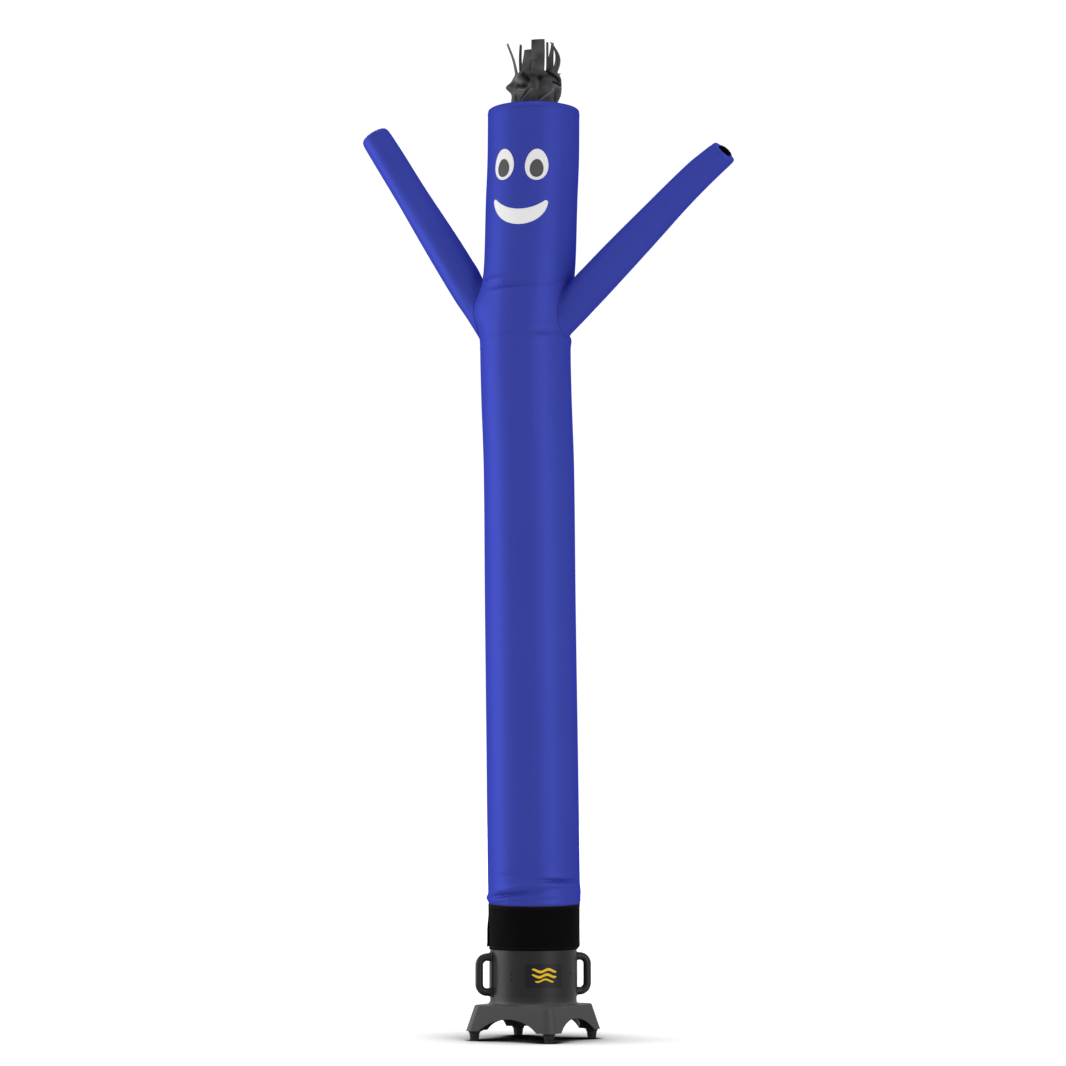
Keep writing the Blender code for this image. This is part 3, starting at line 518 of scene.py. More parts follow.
def add_piece(name, mesh, finish, slot, *replaced):
    """Put a finished mesh in the scene as a piece that rides on the figure's one body."""
    piece = placed(name, mesh)
    mesh.materials.clear()
    mesh.materials.append(FINISHES[finish])
    mesh.shade_smooth()
    mesh.set_sharp_from_angle(angle=radians(48))
    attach(piece, "root")
    if replaced:
        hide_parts(*replaced)
    return piece


def evaluated_mesh(obj):
    """A working object's mesh with its modifiers applied; the object is then removed."""
    bpy.context.view_layer.update()
    depsgraph = bpy.context.evaluated_depsgraph_get()
    mesh = bpy.data.meshes.new_from_object(obj.evaluated_get(depsgraph), depsgraph=depsgraph)
    mesh.transform(obj.matrix_world)
    bpy.data.objects.remove(obj, do_unlink=True)
    return mesh


def built_mesh(name, bm):
    """The mesh that a bmesh has made; the bmesh is freed."""
    mesh = bpy.data.meshes.new(name)
    bm.to_mesh(mesh)
    bm.free()
    return mesh


def add_box(bm, middle, size, turn=0.0):
    """A box in a bmesh, turned round the Z axis; gives its vertices."""
    place = Matrix.Translation(middle) @ Matrix.Rotation(turn, 4, "Z")
    matrix = place @ Matrix.Diagonal((*size, 1))
    return bmesh.ops.create_cube(bm, size=1.0, matrix=matrix)["verts"]


def join_rings(bm, rings):
    """Faces between rings of vertices; a ring of one vertex is a tip."""
    sides = max(len(ring) for ring in rings)
    for one, two in zip(rings, rings[1:]):
        for i in range(sides):
            j = (i + 1) % sides
            corners = (one[i % len(one)], one[j % len(one)], two[j % len(two)], two[i % len(two)])
            kept = list(dict.fromkeys(corners))
            if len(kept) > 2:
                bm.faces.new(kept)


def turned_mesh(name, profile, sides):
    """A profile of (radius, height) turned round the Z axis into a closed mesh."""
    bm = bmesh.new()
    rings = []
    for radius, height in profile:
        angles = circle(sides) if radius > 1e-6 else [0.0]
        rings.append([bm.verts.new((radius * cos(a), radius * sin(a), height)) for a in angles])
    join_rings(bm, rings)
    bmesh.ops.recalc_face_normals(bm, faces=bm.faces)
    return built_mesh(name, bm)


def arc(across, up, radius, start, end, steps):
    """Places along an arc round a middle, from one angle in degrees to another."""
    angles = np.radians(np.linspace(start, end, steps))
    return [(across + radius * cos(a), up + radius * sin(a)) for a in angles]


# ---------------------------------------------------------------- shader expressions


def math_node(operation, reflected=False):
    """A method that adds a Math node to a value and its other terms."""

    def method(self, *others):
        terms = (*others, self) if reflected else (self, *others)
        sockets = dict(enumerate(terms))
        return self.nodes.add("ShaderNodeMath", {"operation": operation}, sockets)

    return method


class Value:
    """A node's socket. Sums and products of values add their Math nodes."""

    def __init__(self, nodes, socket):
        self.nodes = nodes
        self.socket = socket

    __add__, __radd__ = math_node("ADD"), math_node("ADD", True)
    __sub__, __rsub__ = math_node("SUBTRACT"), math_node("SUBTRACT", True)
    __mul__, __rmul__ = math_node("MULTIPLY"), math_node("MULTIPLY", True)
    __truediv__ = math_node("DIVIDE")
    sine, absolute, fraction = math_node("SINE"), math_node("ABSOLUTE"), math_node("FRACT")
    larger = math_node("MAXIMUM")

    def clipped(self):
        """The value kept between 0 and 1."""
        kept = self + 0.0
        kept.socket.node.use_clamp = True
        return kept

    def beside(self, output):
        """Another output of the same node."""
        return Value(self.nodes, self.socket.node.outputs[output])


def solid(colour):
    """RGBA of a colour, or of a grey that is given as one number."""
    return (*(colour if isinstance(colour, tuple) else (colour,) * 3), 1.0)


class Nodes:
    """A node tree being made, with one call for any node."""

    def __init__(self, tree):
        self.tree = tree

    def add(self, kind, settings=None, sockets=None, output=0):
        """Add a node: its settings first, then the values or links of its sockets."""
        node = self.tree.nodes.new(kind)
        for setting, value in (settings or {}).items():
            setattr(node, setting, value)
        for socket, value in (sockets or {}).items():
            self.join(value, node.inputs[socket])
        return Value(self, node.outputs[output])

    def join(self, value, socket):
        """Link a value into a socket, or set a plain number or colour there."""
        if isinstance(value, Value):
            self.tree.links.new(value.socket, socket)
        else:
            socket.default_value = value

    def mix(self, share, first, second):
        """A colour between two."""
        one, two = (c if isinstance(c, Value) else solid(c) for c in (first, second))
        return self.add("ShaderNodeMix", {"data_type": "RGBA"}, {0: share, 6: one, 7: two}, 2)

    def upward(self, vector):
        """The Z part of a vector."""
        return self.add("ShaderNodeSeparateXYZ", None, {0: vector}, 2)


class Finish(Nodes):
    """A material being made: its constants are set on its shader's own sockets."""

    def __init__(self, name, colour, **constants):
        self.material = bpy.data.materials.new(name)
        self.material.use_nodes = True
        self.material.diffuse_color = solid(colour)
        super().__init__(self.material.node_tree)
        self.shader = self.tree.nodes["Principled BSDF"]
        self.feed("Base Color", solid(colour))
        for socket, value in constants.items():
            self.feed(socket.replace("_", " "), value)

    def feed(self, socket, value):
        """Feed one of the shader's sockets."""
        self.join(value, self.shader.inputs[socket])

    @cached_property
    def place(self):
        """The piece's Object coordinates."""
        return self.add("ShaderNodeTexCoord", output="Object")

    def cloth(self):
        """The cloth's own U and V, in metres."""
        uv = self.add("ShaderNodeUVMap", {"uv_map": "cloth"})
        u = self.add("ShaderNodeSeparateXYZ", None, {0: uv})
        return u, u.beside(1)

    def noise(self, scale, detail=2.0, roughness=0.5):
        """Cloudy noise from 0 to 1, `scale` cycles to the metre."""
        sockets = {"Vector": self.place, "Scale": scale, "Detail": detail, "Roughness": roughness}
        return self.add("ShaderNodeTexNoise", {"noise_dimensions": "3D"}, sockets)

    def bump(self, height, distance, strength, below=None):
        """A bump of a height in shares of `distance` metres, on top of another bump."""
        sockets = {"Height": height, "Distance": distance, "Strength": strength}
        if below is not None:
            sockets["Normal"] = below
        return self.add("ShaderNodeBump", None, sockets)


def wave(along, pitch, swing, middle):
    """A sine wave along U or V."""
    return (along * (tau / pitch)).sine() * swing + middle


def weave_height(u, v, pitch):
    """Height of a plain weave: threads that cross over and under."""
    turn = tau / pitch
    return (u * turn).sine() * (v * turn).sine() * 0.5 + 0.5


def grid_lines(u, v, pitch, width):
    """1 on the thicker threads of a ripstop grid."""
    lines = []
    for along in (u, v):
        away = ((along / pitch).fraction() - 0.5).absolute()
        lines.append((1.0 - away * (pitch / width)).clipped())
    return lines[0].larger(lines[1])


def blue_nylon():
    """Thin blue nylon with a faint ripstop grid and a cool sheen."""
    finish = Finish("blue_nylon", (0.045, 0.062, 0.42), Metallic=0.22, Specular_IOR_Level=0.0,
                    Sheen_Weight=0.42, Sheen_Roughness=0.32, Sheen_Tint=(0.0, 0.02, 1.0, 1.0),
                    Specular_Tint=(0.05, 0.07, 0.95, 1.0))
    u, v = finish.cloth()
    cloud, grain = finish.noise(2.6, 3.0), finish.noise(260.0)
    lines = grid_lines(u, v, 0.0052, 0.0005)
    tone = (cloud * 0.55 + grain * 0.25 + 0.10).clipped()
    base = finish.mix(tone, (0.042, 0.058, 0.36), (0.054, 0.073, 0.44))
    finish.feed("Base Color", finish.mix(lines * 0.12, base, (0.022, 0.032, 0.26)))
    finish.feed("Roughness", cloud * 0.10 + grain * 0.06 + 0.34)
    soft = finish.bump(finish.noise(30.0, 3.0, 0.55), 0.0011, 0.22)
    threads = weave_height(u, v, 0.0011) * 0.5 + lines * 0.8
    finish.feed("Normal", finish.bump(threads, 0.0001, 0.5, soft))
    return finish.material


def black_nylon():
    """Soft black nylon, with painted shade inside its folds and a painted highlight along its
    ridges.
    """
    finish = Finish("black_nylon", 0.026, Specular_IOR_Level=0.20)
    cloud, grain = finish.noise(19.0, 3.0), finish.noise(420.0)
    folded = finish.add("ShaderNodeAttribute", {"attribute_name": "folded"}, output=2)
    base = finish.mix(((cloud - 0.35) * 3.0).clipped(), 0.030, (0.085, 0.085, 0.084))
    # painted shade: the deeper a place lies in a fold, the darker it is
    base = finish.mix((folded * 1.1).clipped(), base, 0.0008)
    # painted highlight: paler along the ridges
    finish.feed("Base Color", finish.mix((folded * -0.9).clipped(), base, (0.150, 0.150, 0.146)))
    finish.feed("Roughness", cloud * 0.16 + grain * 0.08 + folded * 0.35 + 0.28)
    soft = finish.bump(finish.noise(38.0, 3.0), 0.003, 0.25)
    finish.feed("Normal", finish.bump(weave_height(*finish.cloth(), 0.0012), 0.00012, 0.5, soft))
    return finish.material


def black_webbing():
    """Matt black ribbed cloth."""
    finish = Finish("black_webbing", (0.002, 0.002, 0.0025), Roughness=0.8, Specular_IOR_Level=0.04)
    u, v = finish.cloth()
    cloud, fibre = finish.noise(18.0, 3.0), finish.noise(700.0, 3.0, 0.7)
    rib = wave(v, 0.0024, 0.5, 0.5) * wave(u, 0.0036, 0.35, 0.65)
    share = cloud * 0.5 + fibre * 0.4
    finish.feed("Base Color", finish.mix(share, (0.0012, 0.0012, 0.0016), (0.0036, 0.0036, 0.0044)))
    finish.feed("Roughness", fibre * 0.15 + 0.70)
    soft = finish.bump(cloud, 0.0015, 0.4)
    finish.feed("Normal", finish.bump(rib * 0.7 + fibre * 0.3, 0.00045, 0.8, soft))
    return finish.material


def patch_cloth(name, dark, light, grain_share):
    """The matt cloth of the face's patches."""
    finish = Finish(name, light, Specular_IOR_Level=0.12)
    cloud, grain = finish.noise(9.0), finish.noise(330.0, 3.0, 0.65)
    tone = (cloud * (1.0 - grain_share) + grain * grain_share).clipped()
    finish.feed("Base Color", finish.mix(tone, dark, light))
    finish.feed("Roughness", grain * 0.15 + 0.55)
    height = weave_height(*finish.cloth(), 0.0011) * 0.6 + grain * 0.4
    finish.feed("Normal", finish.bump(height, 0.00018, 0.6))
    return finish.material


def charcoal_plastic():
    """Moulded charcoal plastic, paler towards the bottom, with painted light on what faces up
    there, and light scuffs.
    """
    finish = Finish("charcoal_plastic", (0.016, 0.016, 0.0165), Specular_IOR_Level=0.26)
    cloud, grain, scuff = finish.noise(7.0, 3.0), finish.noise(520.0), finish.noise(60.0, 5.0, 0.7)
    base = finish.mix(cloud * 0.6 + grain * 0.3, (0.011, 0.011, 0.0115), (0.020, 0.020, 0.021))
    # paler towards the bottom, below 15 cm
    low = ((0.150 - finish.upward(finish.place)) * 28.0).clipped()
    base = finish.mix(low * (cloud * 0.3 + 0.7), base, 0.044)
    # painted light on the faces turned up, low down
    facing_up = finish.upward(finish.add("ShaderNodeNewGeometry", output=1))
    base = finish.mix((facing_up * low).clipped() * 0.8, base, 0.090)
    worn = ((scuff - 0.60) * 6.0).clipped() * 0.25
    finish.feed("Base Color", finish.mix(worn, base, 0.036))
    finish.feed("Roughness", cloud * 0.08 + scuff * 0.10 + 0.30)
    finish.feed("Normal", finish.bump(grain, 0.00012, 0.35))
    return finish.material


def speckled(name, colour, dark, light, specks, rough=None, grain=None, **constants):
    """A finish that varies in specks between two colours.

    `specks` is the specks' scale, detail and roughness, `rough` the roughness of the darkest ones,
    and `grain` the fine relief's scale, height in metres and strength.
    """
    finish = Finish(name, colour, **constants)
    share = finish.noise(*specks)
    finish.feed("Base Color", finish.mix(share, dark, light))
    if rough is not None:
        finish.feed("Roughness", share * 0.2 + rough)
    if grain is not None:
        finish.feed("Normal", finish.bump(finish.noise(grain[0]), *grain[1:]))
    return finish.material


def thread(name, dark, light):
    """Twisted sewing thread."""
    return speckled(name, light, dark, light, (1500.0, 1.0), Roughness=0.6, Specular_IOR_Level=0.3)


FINISHES = {
    "blue": blue_nylon(),
    "hair": black_nylon(),
    "webbing": black_webbing(),
    "white": patch_cloth("white_patch", 0.82, 0.96, 0.40),
    "pupil": patch_cloth("grey_patch", 0.030, 0.160, 0.75),
    "plastic": charcoal_plastic(),
    "rubber": speckled("foot_rubber", (0.02, 0.02, 0.022), (0.014, 0.014, 0.015),
                       (0.040, 0.039, 0.038), (80.0, 4.0, 0.6), 0.62, (700.0, 0.00015, 0.4),
                       Specular_IOR_Level=0.3),
    "label": speckled("label_vinyl", (0.012, 0.010, 0.020), (0.004, 0.0035, 0.008),
                      (0.008, 0.007, 0.014), (45.0, 3.0), 0.30, (300.0, 0.00005, 0.3),
                      Specular_IOR_Level=0.25),
    "ink": speckled("label_ink", (0.85, 0.62, 0.03), (0.76, 0.47, 0.005), (0.96, 0.64, 0.015),
                    (200.0, 3.0), 0.35, Specular_IOR_Level=0.15),
    "screw": speckled("screw_steel", (0.25, 0.25, 0.26), 0.004, (0.016, 0.016, 0.017),
                      (900.0, 3.0), 0.18, Metallic=0.8),
    "blue_thread": thread("blue_thread", (0.036, 0.050, 0.32), (0.056, 0.076, 0.46)),
    "white_thread": thread("white_thread", (0.45, 0.45, 0.46), 0.80),
    "red_thread": thread("red_thread", (0.05, 0.004, 0.03), (0.16, 0.012, 0.07)),
    "black_thread": thread("black_thread", 0.004, (0.020, 0.020, 0.022)),
}

# ---------------------------------------------------------------- stitches


def stitch_tree():
    """Geometry nodes that lay stitches along lines: a short round of thread at each place."""
    tree = bpy.data.node_groups.new("stitch_row", "GeometryNodeTree")
    for label, way, kind in (
        ("Line", "INPUT", "Geometry"), ("Pitch", "INPUT", "Float"),
        ("Stitch length", "INPUT", "Float"), ("Thread radius", "INPUT", "Float"),
        ("Thread", "INPUT", "Material"), ("Stitches", "OUTPUT", "Geometry"),
    ):
        tree.interface.new_socket(label, in_out=way, socket_type="NodeSocket" + kind)
    row = Nodes(tree)
    line = row.add("NodeGroupInput", output="Line")
    pitch, length, radius, dye = (line.beside(output) for output in range(1, 5))
    curve = row.add("GeometryNodeMeshToCurve", None, {"Mesh": line})
    places = row.add("GeometryNodeCurveToPoints", {"mode": "LENGTH"},
                     {"Curve": curve, "Length": pitch}, "Points")
    bead = row.add("GeometryNodeMeshUVSphere", None, {"Segments": 6, "Rings": 4})
    size = row.add("ShaderNodeCombineXYZ", None, {0: radius, 1: radius, 2: length * 0.5})
    copies = row.add("GeometryNodeInstanceOnPoints", None, {
        "Points": places, "Rotation": places.beside("Rotation"), "Instance": bead, "Scale": size,
    })
    real = row.add("GeometryNodeRealizeInstances", None, {"Geometry": copies})
    dyed = row.add("GeometryNodeSetMaterial", None, {"Geometry": real, "Material": dye})
    row.join(dyed, tree.nodes.new("NodeGroupOutput").inputs["Stitches"])
    return tree


STITCH_TREE = stitch_tree()
Stitch = namedtuple("Stitch", "pitch length radius")
PANEL_STITCH = Stitch(0.0042, 0.0032, 0.0003)


def add_stitches(name, lines, finish, slot, stitch=PANEL_STITCH):
    """Rows of stitches along lines of points; each line says whether it closes on itself."""
    mesh = bpy.data.meshes.new(name)
    points, edges = [], []
    for line, closed in lines:
        first, count = len(points), len(line)
        points += [tuple(point) for point in line]
        edges += [(first + i, first + i + 1) for i in range(count - 1)]
        if closed:
            edges.append((first + count - 1, first))
    mesh.from_pydata(points, edges, [])
    row = placed(name + "_line", mesh)
    modifier = row.modifiers.new("stitches", "NODES")
    modifier.node_group = STITCH_TREE
    values = {"Pitch": stitch.pitch, "Stitch length": stitch.length,
              "Thread radius": stitch.radius, "Thread": FINISHES[finish]}
    for item in STITCH_TREE.interface.items_tree:
        if item.in_out == "INPUT" and item.name in values:
            modifier[item.identifier] = values[item.name]
    return add_piece(name, evaluated_mesh(row), finish, slot)


# ---------------------------------------------------------------- the sewn panels

ROUND = np.degrees(circle(240))  # the bearings of the tube's columns
EDGE_PLACES = spaced((0.0, 0.006, 3), (0.006, 0.010, 4), (0.010, 0.036, 9))
HEM_PLACES = spaced((0.0, 0.010, 6), (0.010, 0.110, 44), (0.110, 0.200, 16))
WAIST_PLACES = np.concatenate([EDGE_PLACES, spaced((0.040, 0.100, 10))])


def panel_points(low, high, from_low, middle_rows, from_high, folded_over):
    """A grid on the skin between two seams.

    The first rows are `from_low` above the lower seam and the last `from_high` below the upper
    one; `middle_rows` share out the rest evenly. The top edge may be folded over.
    """
    bottom, top = low(ROUND), high(ROUND)
    share = np.linspace(0, 1, middle_rows + 2)[1:-1, None]
    first, last = bottom + from_low[-1], top - from_high[-1]
    height = np.concatenate([bottom + from_low[:, None], first + share * (last - first),
                             top - from_high[::-1, None]])
    bearing = np.broadcast_to(ROUND, height.shape)
    radius = skin_radius(bearing, height)
    if folded_over:
        radius = radius + SEAM_RISE * smooth_step((SEAM_BAND - (top - height)) / SEAM_EDGE)
    uv = np.stack([np.radians(bearing) * HEAD_R, height], axis=-1)
    return round_point(bearing, radius, height), uv


def add_panel(name, replaced, grid, keep=None):
    """A blue panel all round the figure, from a grid of points with their UVs."""
    mesh = cloth_mesh(name, *grid, True, CLOTH, keep)
    panel = add_piece(name, mesh, "blue", "blue_cloth", replaced)


def sleeve_openings(points):
    """Which of the chest's faces lie outside the sleeves."""
    middle = (points[:-1] + points[1:]) / 2
    middle = (middle + np.roll(middle, -1, axis=1)) / 2
    keep = np.ones(middle.shape[:2], bool)
    for arm in ARMS:
        start, direction, _, _ = arm_axis(arm)
        away = middle - start
        along = away @ direction
        off = np.linalg.norm(away - along[..., None] * direction, axis=-1)
        reach = getattr(ARM_SECTIONS[1], arm.name) - 0.006
        keep &= ~((off < reach) & (along > 0))
    return keep


def make_tube():
    """The body, chest and head panels, one above the other."""
    grid = panel_points(hem_z, lambda b: waist_z(b) - FIT, HEM_PLACES, 58, WAIST_PLACES, True)
    add_panel("body_tube_cloth", "body_tube", grid)
    grid = panel_points(waist_z, chest_z, EDGE_PLACES, 22, EDGE_PLACES, True)
    keep = sleeve_openings(grid[0])
    add_panel("chest_cloth", "chest_panel", grid, keep)
    grid = panel_points(lambda b: chest_z(b) + FIT, head_top_z, EDGE_PLACES, 38, EDGE_PLACES, False)
    add_panel("head_cloth", "head_panel", grid)


def make_top():
    """The panel over the head, gathered towards the hair."""
    ring_at = np.linspace(0, len(TOP_RINGS) - 1, 45)[:, None]
    bearing, radius = np.broadcast_arrays(ROUND, read_column(TOP_RINGS, "radius", ring_at))
    angle = np.radians(bearing)
    near_hair = smooth_step((0.125 - radius) / 0.045)
    pucker = np.sin(31 * angle + 1.5 * np.sin(4 * angle)) * 0.0010 * near_hair
    pucker = pucker + 0.0006 * np.sin(6 * angle + 1.0) * smooth_step((0.150 - radius) / 0.03)
    outer = 0.0003 * gathers(bearing, 0.003 + (HEAD_R - radius) * 0.8) * (radius > 0.140)
    height = HEAD_TOP_Z + FIT + read_column(TOP_RINGS, "height", ring_at) + pucker
    grid = round_point(bearing, radius + outer, height), np.stack([angle * radius, radius], axis=-1)
    add_panel("top_cloth", "top_panel", grid)


def make_panel_stitches():
    """Two rows of stitches below each seam of the tube."""
    for name, seams, lift in (("panel_stitches", (waist_z, chest_z), 0.0005),
                              ("head_stitches", (head_top_z,), 0.0003)):
        rows = [skin_ring(seam, lift, below) for seam in seams for below in SEAM_ROWS]
        add_stitches(name, rows, "blue_thread", "blue_cloth")


# ---------------------------------------------------------------- sleeves

SLEEVE_COLUMNS = 96
BEND_FROM = 0.7  # share of the sleeve's length where its droop starts
SHY_LENGTH = 0.130  # of the stretch where the upper side falls in
SEW_STEPS = (0.0020, 0.0060)  # the two rows of stitches beyond the seam
VENT_SHADE_SHEET = [  # depth inside the vent, and the radius there of the black sheet that stands in for its shade, as a share of the sleeve's
    (0.0003, 0.56), (0.0012, 0.52), (0.004, 0.5), (0.012, 0.5),
    (0.020, 0.62), (0.030, 0.76), (0.045, 0.86), (0.060, 0.9),
]


def arm_axis(arm):
    """The arm's start on the tube's middle line, its direction, below it and its side."""
    outwards = np.array([cos(radians(arm.bearing)), sin(radians(arm.bearing)), 0.0])
    up = np.array([0, 0, 1.0])
    lean = radians(arm.lean)
    direction, below = outwards * sin(lean) + up * cos(lean), outwards * cos(lean) - up * sin(lean)
    start = np.array([BASE_X + arm.axis_x, 0.0, arm.axis_z])
    return start, direction, below, np.cross(direction, below)


def sleeve_point(arm, along, turn, radius):
    """Points round the arm's axis; `turn` is radians from below."""
    start, direction, below, side = arm_axis(arm)
    bend = np.maximum(along / arm.length - BEND_FROM, 0.0) / (1 - BEND_FROM)
    middle = start + along[..., None] * direction + (arm.droop * bend * bend)[..., None] * below
    spoke = np.cos(turn)[..., None] * below + np.sin(turn)[..., None] * side
    return middle + spoke * np.asarray(radius)[..., None]


def full_radius(arm, along):
    """Radius of the fully inflated sleeve."""
    sections = [(row.along, getattr(row, arm.name)) for row in ARM_SECTIONS]
    return read_table(sections, along / arm.length)


def sleeve_radius(arm, along, turn, at=None):
    """Radius of the sleeve, whose upper side falls in towards its end."""
    upper = 0.5 - 0.5 * np.cos(turn)
    shy = smooth_step((along - arm.length + SHY_LENGTH) / SHY_LENGTH)
    return full_radius(arm, along if at is None else at) - arm.shy * upper * upper * shy


def seam_along(arm, turn):
    """How far along the arm its cloth meets the figure's skin."""
    near, far = np.zeros_like(turn), np.full_like(turn, 0.60)
    for _ in range(36):
        along = (near + far) / 2
        point = sleeve_point(arm, along, turn, full_radius(arm, along))
        x = point[..., 0] - BASE_X - read_table(LEAN, point[..., 2])
        bearing = np.degrees(np.arctan2(point[..., 1], x))
        outside = np.hypot(x, point[..., 1]) > skin_radius(bearing, point[..., 2]) + 0.0004
        near, far = np.where(outside, near, along), np.where(outside, along, far)
    return far


def sleeve_creases(from_seam, turn):
    """Creases that run from the seam into the sleeve, and its slight unevenness."""
    near = np.exp(-from_seam / 0.045)
    upper = smooth_step((-np.cos(turn) - 0.1) / 0.8)
    dip = 0.0018 * upper * hump(from_seam - 0.020, 0.022)
    roll = 0.0008 * upper * hump(from_seam - 0.055, 0.022)
    rays = np.sin(9 * turn + 1.2 * np.sin(2 * turn)) + 0.6 * np.sin(14 * turn + 0.5)
    slow = np.sin(2 * turn + 11 * from_seam) + 0.7 * np.sin(3 * turn - 17 * from_seam + 1.4)
    return 0.0007 * near * rays + 0.0005 * slow + roll - dip


def facing_grid(points, uv, outwards):
    """A tube's grid, its rows run the other way if its faces would point the wrong way."""
    corner = points[0, 0]
    normal = np.cross(points[0, 1] - corner, points[3, 0] - corner)
    if (normal @ (corner - points[0].mean(axis=0)) > 0) == outwards:
        return points, uv
    return points[:, ::-1], uv[:, ::-1]


def make_arm(arm):
    """A tapered sleeve, sewn to the chest and drawn in round the vent at its end."""
    turn = circle(SLEEVE_COLUMNS)
    root = seam_along(arm, turn)
    last = arm.length - ARM_END[0].before_end
    share = spaced((0.0, 0.05, 12), (0.05, 0.16, 12), (0.16, 0.90, 40), (0.90, 1.0, 8))[:, None]
    along = root + share * (last - root)
    from_seam = along - root
    radius = sleeve_radius(arm, along, turn) + sleeve_creases(from_seam, turn)
    radius = radius + 0.0008 * smooth_step((SEAM_BAND - from_seam) / SEAM_EDGE)
    side = sleeve_point(arm, along, turn, radius)

    end_at = np.linspace(0, len(ARM_END) - 1, 49)[1:, None]
    drawn = read_column(ARM_END, "share", end_at)
    pull = smooth_step(end_at / 6.0)
    gather = np.sin(17 * turn + 1.1 * np.sin(3 * turn)) + 0.5 * np.sin(26 * turn + 0.4)
    facing = 0.5 + 0.5 * np.cos(turn - arm.vent_turn)
    open_share = smooth_step((1.0 - drawn) / 0.35)
    lip = smooth_step((drawn - 0.59) / 0.10) * smooth_step((0.985 - drawn) / 0.20)
    along = arm.length - read_column(ARM_END, "before_end", end_at) + 0.0003 * pull * gather
    along = along - arm.vent_tilt * (facing * open_share + 0.4 * (1 - facing) * lip)
    creases = sleeve_creases(last - root.mean(), turn)
    wide = sleeve_radius(arm, along, turn, arm.length)
    radius = wide * (drawn + 0.004 * pull * gather) + creases * (1 - pull)
    end = sleeve_point(arm, along, turn, radius)

    long = from_seam.mean(axis=1)
    long = np.concatenate([long, long[-1] + np.linspace(0.001, 0.06, len(end_at))])
    uv = np.stack(np.broadcast_arrays(turn * 0.055, long[:, None]), axis=-1)
    grid = facing_grid(np.concatenate([side, end]), uv, True)
    add_panel(arm.name + "_cloth", arm.name, grid)

    turn = circle(360)
    root = seam_along(arm, turn)
    rows = []
    for step in SEW_STEPS:
        radius = full_radius(arm, root + step) + sleeve_creases(step, turn) + 0.0009
        rows.append((sleeve_point(arm, root + step, turn, radius), True))
    end = arm.length - ARM_END[1].before_end + 0 * turn
    rows.append((sleeve_point(arm, end, turn, sleeve_radius(arm, end, turn) + 0.0002), True))
    add_stitches(arm.name + "_stitches", rows, "blue_thread", "blue_cloth")


def make_vent_shade(arm):
    """A black sheet just inside the vent at a sleeve's end: painted shade standing in for the dark
    inside of the sleeve.
    """
    turn = circle(SLEEVE_COLUMNS)
    depth = spaced((0.0003, 0.012, 8), (0.012, 0.060, 14))[:, None]
    along = arm.length - depth - arm.vent_tilt * (0.5 + 0.5 * np.cos(turn - arm.vent_turn))
    radius = read_table(VENT_SHADE_SHEET, depth) * sleeve_radius(arm, along, turn)
    points = sleeve_point(arm, along, turn, radius)
    uv = np.stack(np.broadcast_arrays(turn * 0.04, depth), axis=-1)
    name = arm.name + "_vent_shade"
    mesh = cloth_mesh(name, *facing_grid(points, uv, False), True, CLOTH)
    vent_shade = add_piece(name, mesh, "webbing", "black_cloth")


# ---------------------------------------------------------------- face

WHITE_LIFT = 0.0015
PUPIL_LIFT = 0.0028
THREAD_LIFT = 0.0001  # of the stitches above their patch
WHITE_SEW = 0.0035  # from a white patch's edge to its stitches
PUPIL_SEW = 0.0022
WHITE_STITCH = Stitch(0.0036, 0.0027, 0.00035)
PUPIL_STITCH = Stitch(0.0034, 0.0025, 0.00035)


def add_patch(name, finish, slot, across, height, lift):
    """A flat patch of cloth laid on the head."""
    uv = np.stack([across, height], axis=-1)
    mesh = cloth_mesh(name + "_cloth", face_point(across, height, lift), uv, False, CLOTH * 0.9)
    patch = add_piece(name + "_cloth", mesh, finish, slot, name)


def add_eye_patch(name, finish, slot, across, height, size, lift, sew):
    """An egg-shaped patch, wider below its middle; gives the line of its stitches."""
    line = np.linspace(-1, 1, 41)
    u, v = np.meshgrid(line, line)
    x, y = u * np.sqrt(1 - v * v / 2), v * np.sqrt(1 - u * u / 2)
    wide, tall = size
    add_patch(name, finish, slot, across + wide * x * (1.0 - EGG * y), height + tall * y, lift)
    x, y = np.cos(circle(200)), np.sin(circle(200))
    side = across + (wide - sew) * x * (1.0 - EGG * y)
    return face_point(side, height + (tall - sew) * y, lift + THREAD_LIFT), True


def mouth_stations(steps):
    """Angles along the smile and its half width there, with a round end at each."""
    tips = np.radians(np.linspace(84, 12, 9))
    t = np.linspace(-1, 1, steps)
    half = MOUTH_TIP_R + MOUTH_SWELL * np.maximum(1 - t * t, 0) ** 0.85
    reach = radians(MOUTH_HALF_ANGLE)
    beyond, tip = reach + MOUTH_TIP_R * np.sin(tips) / MOUTH_BEND_R, MOUTH_TIP_R * np.cos(tips)
    angle = np.concatenate([-beyond, reach * t, beyond[::-1]])
    return angle, np.concatenate([tip, half, tip[::-1]])


def mouth_place(angle, across):
    """Distance along the cloth and height of a place on the smile."""
    reach = MOUTH_BEND_R + across
    side = reach * np.sin(angle)
    return side, MOUTH_Z + MOUTH_BEND_R - reach * np.cos(angle) + MOUTH_TILT * side


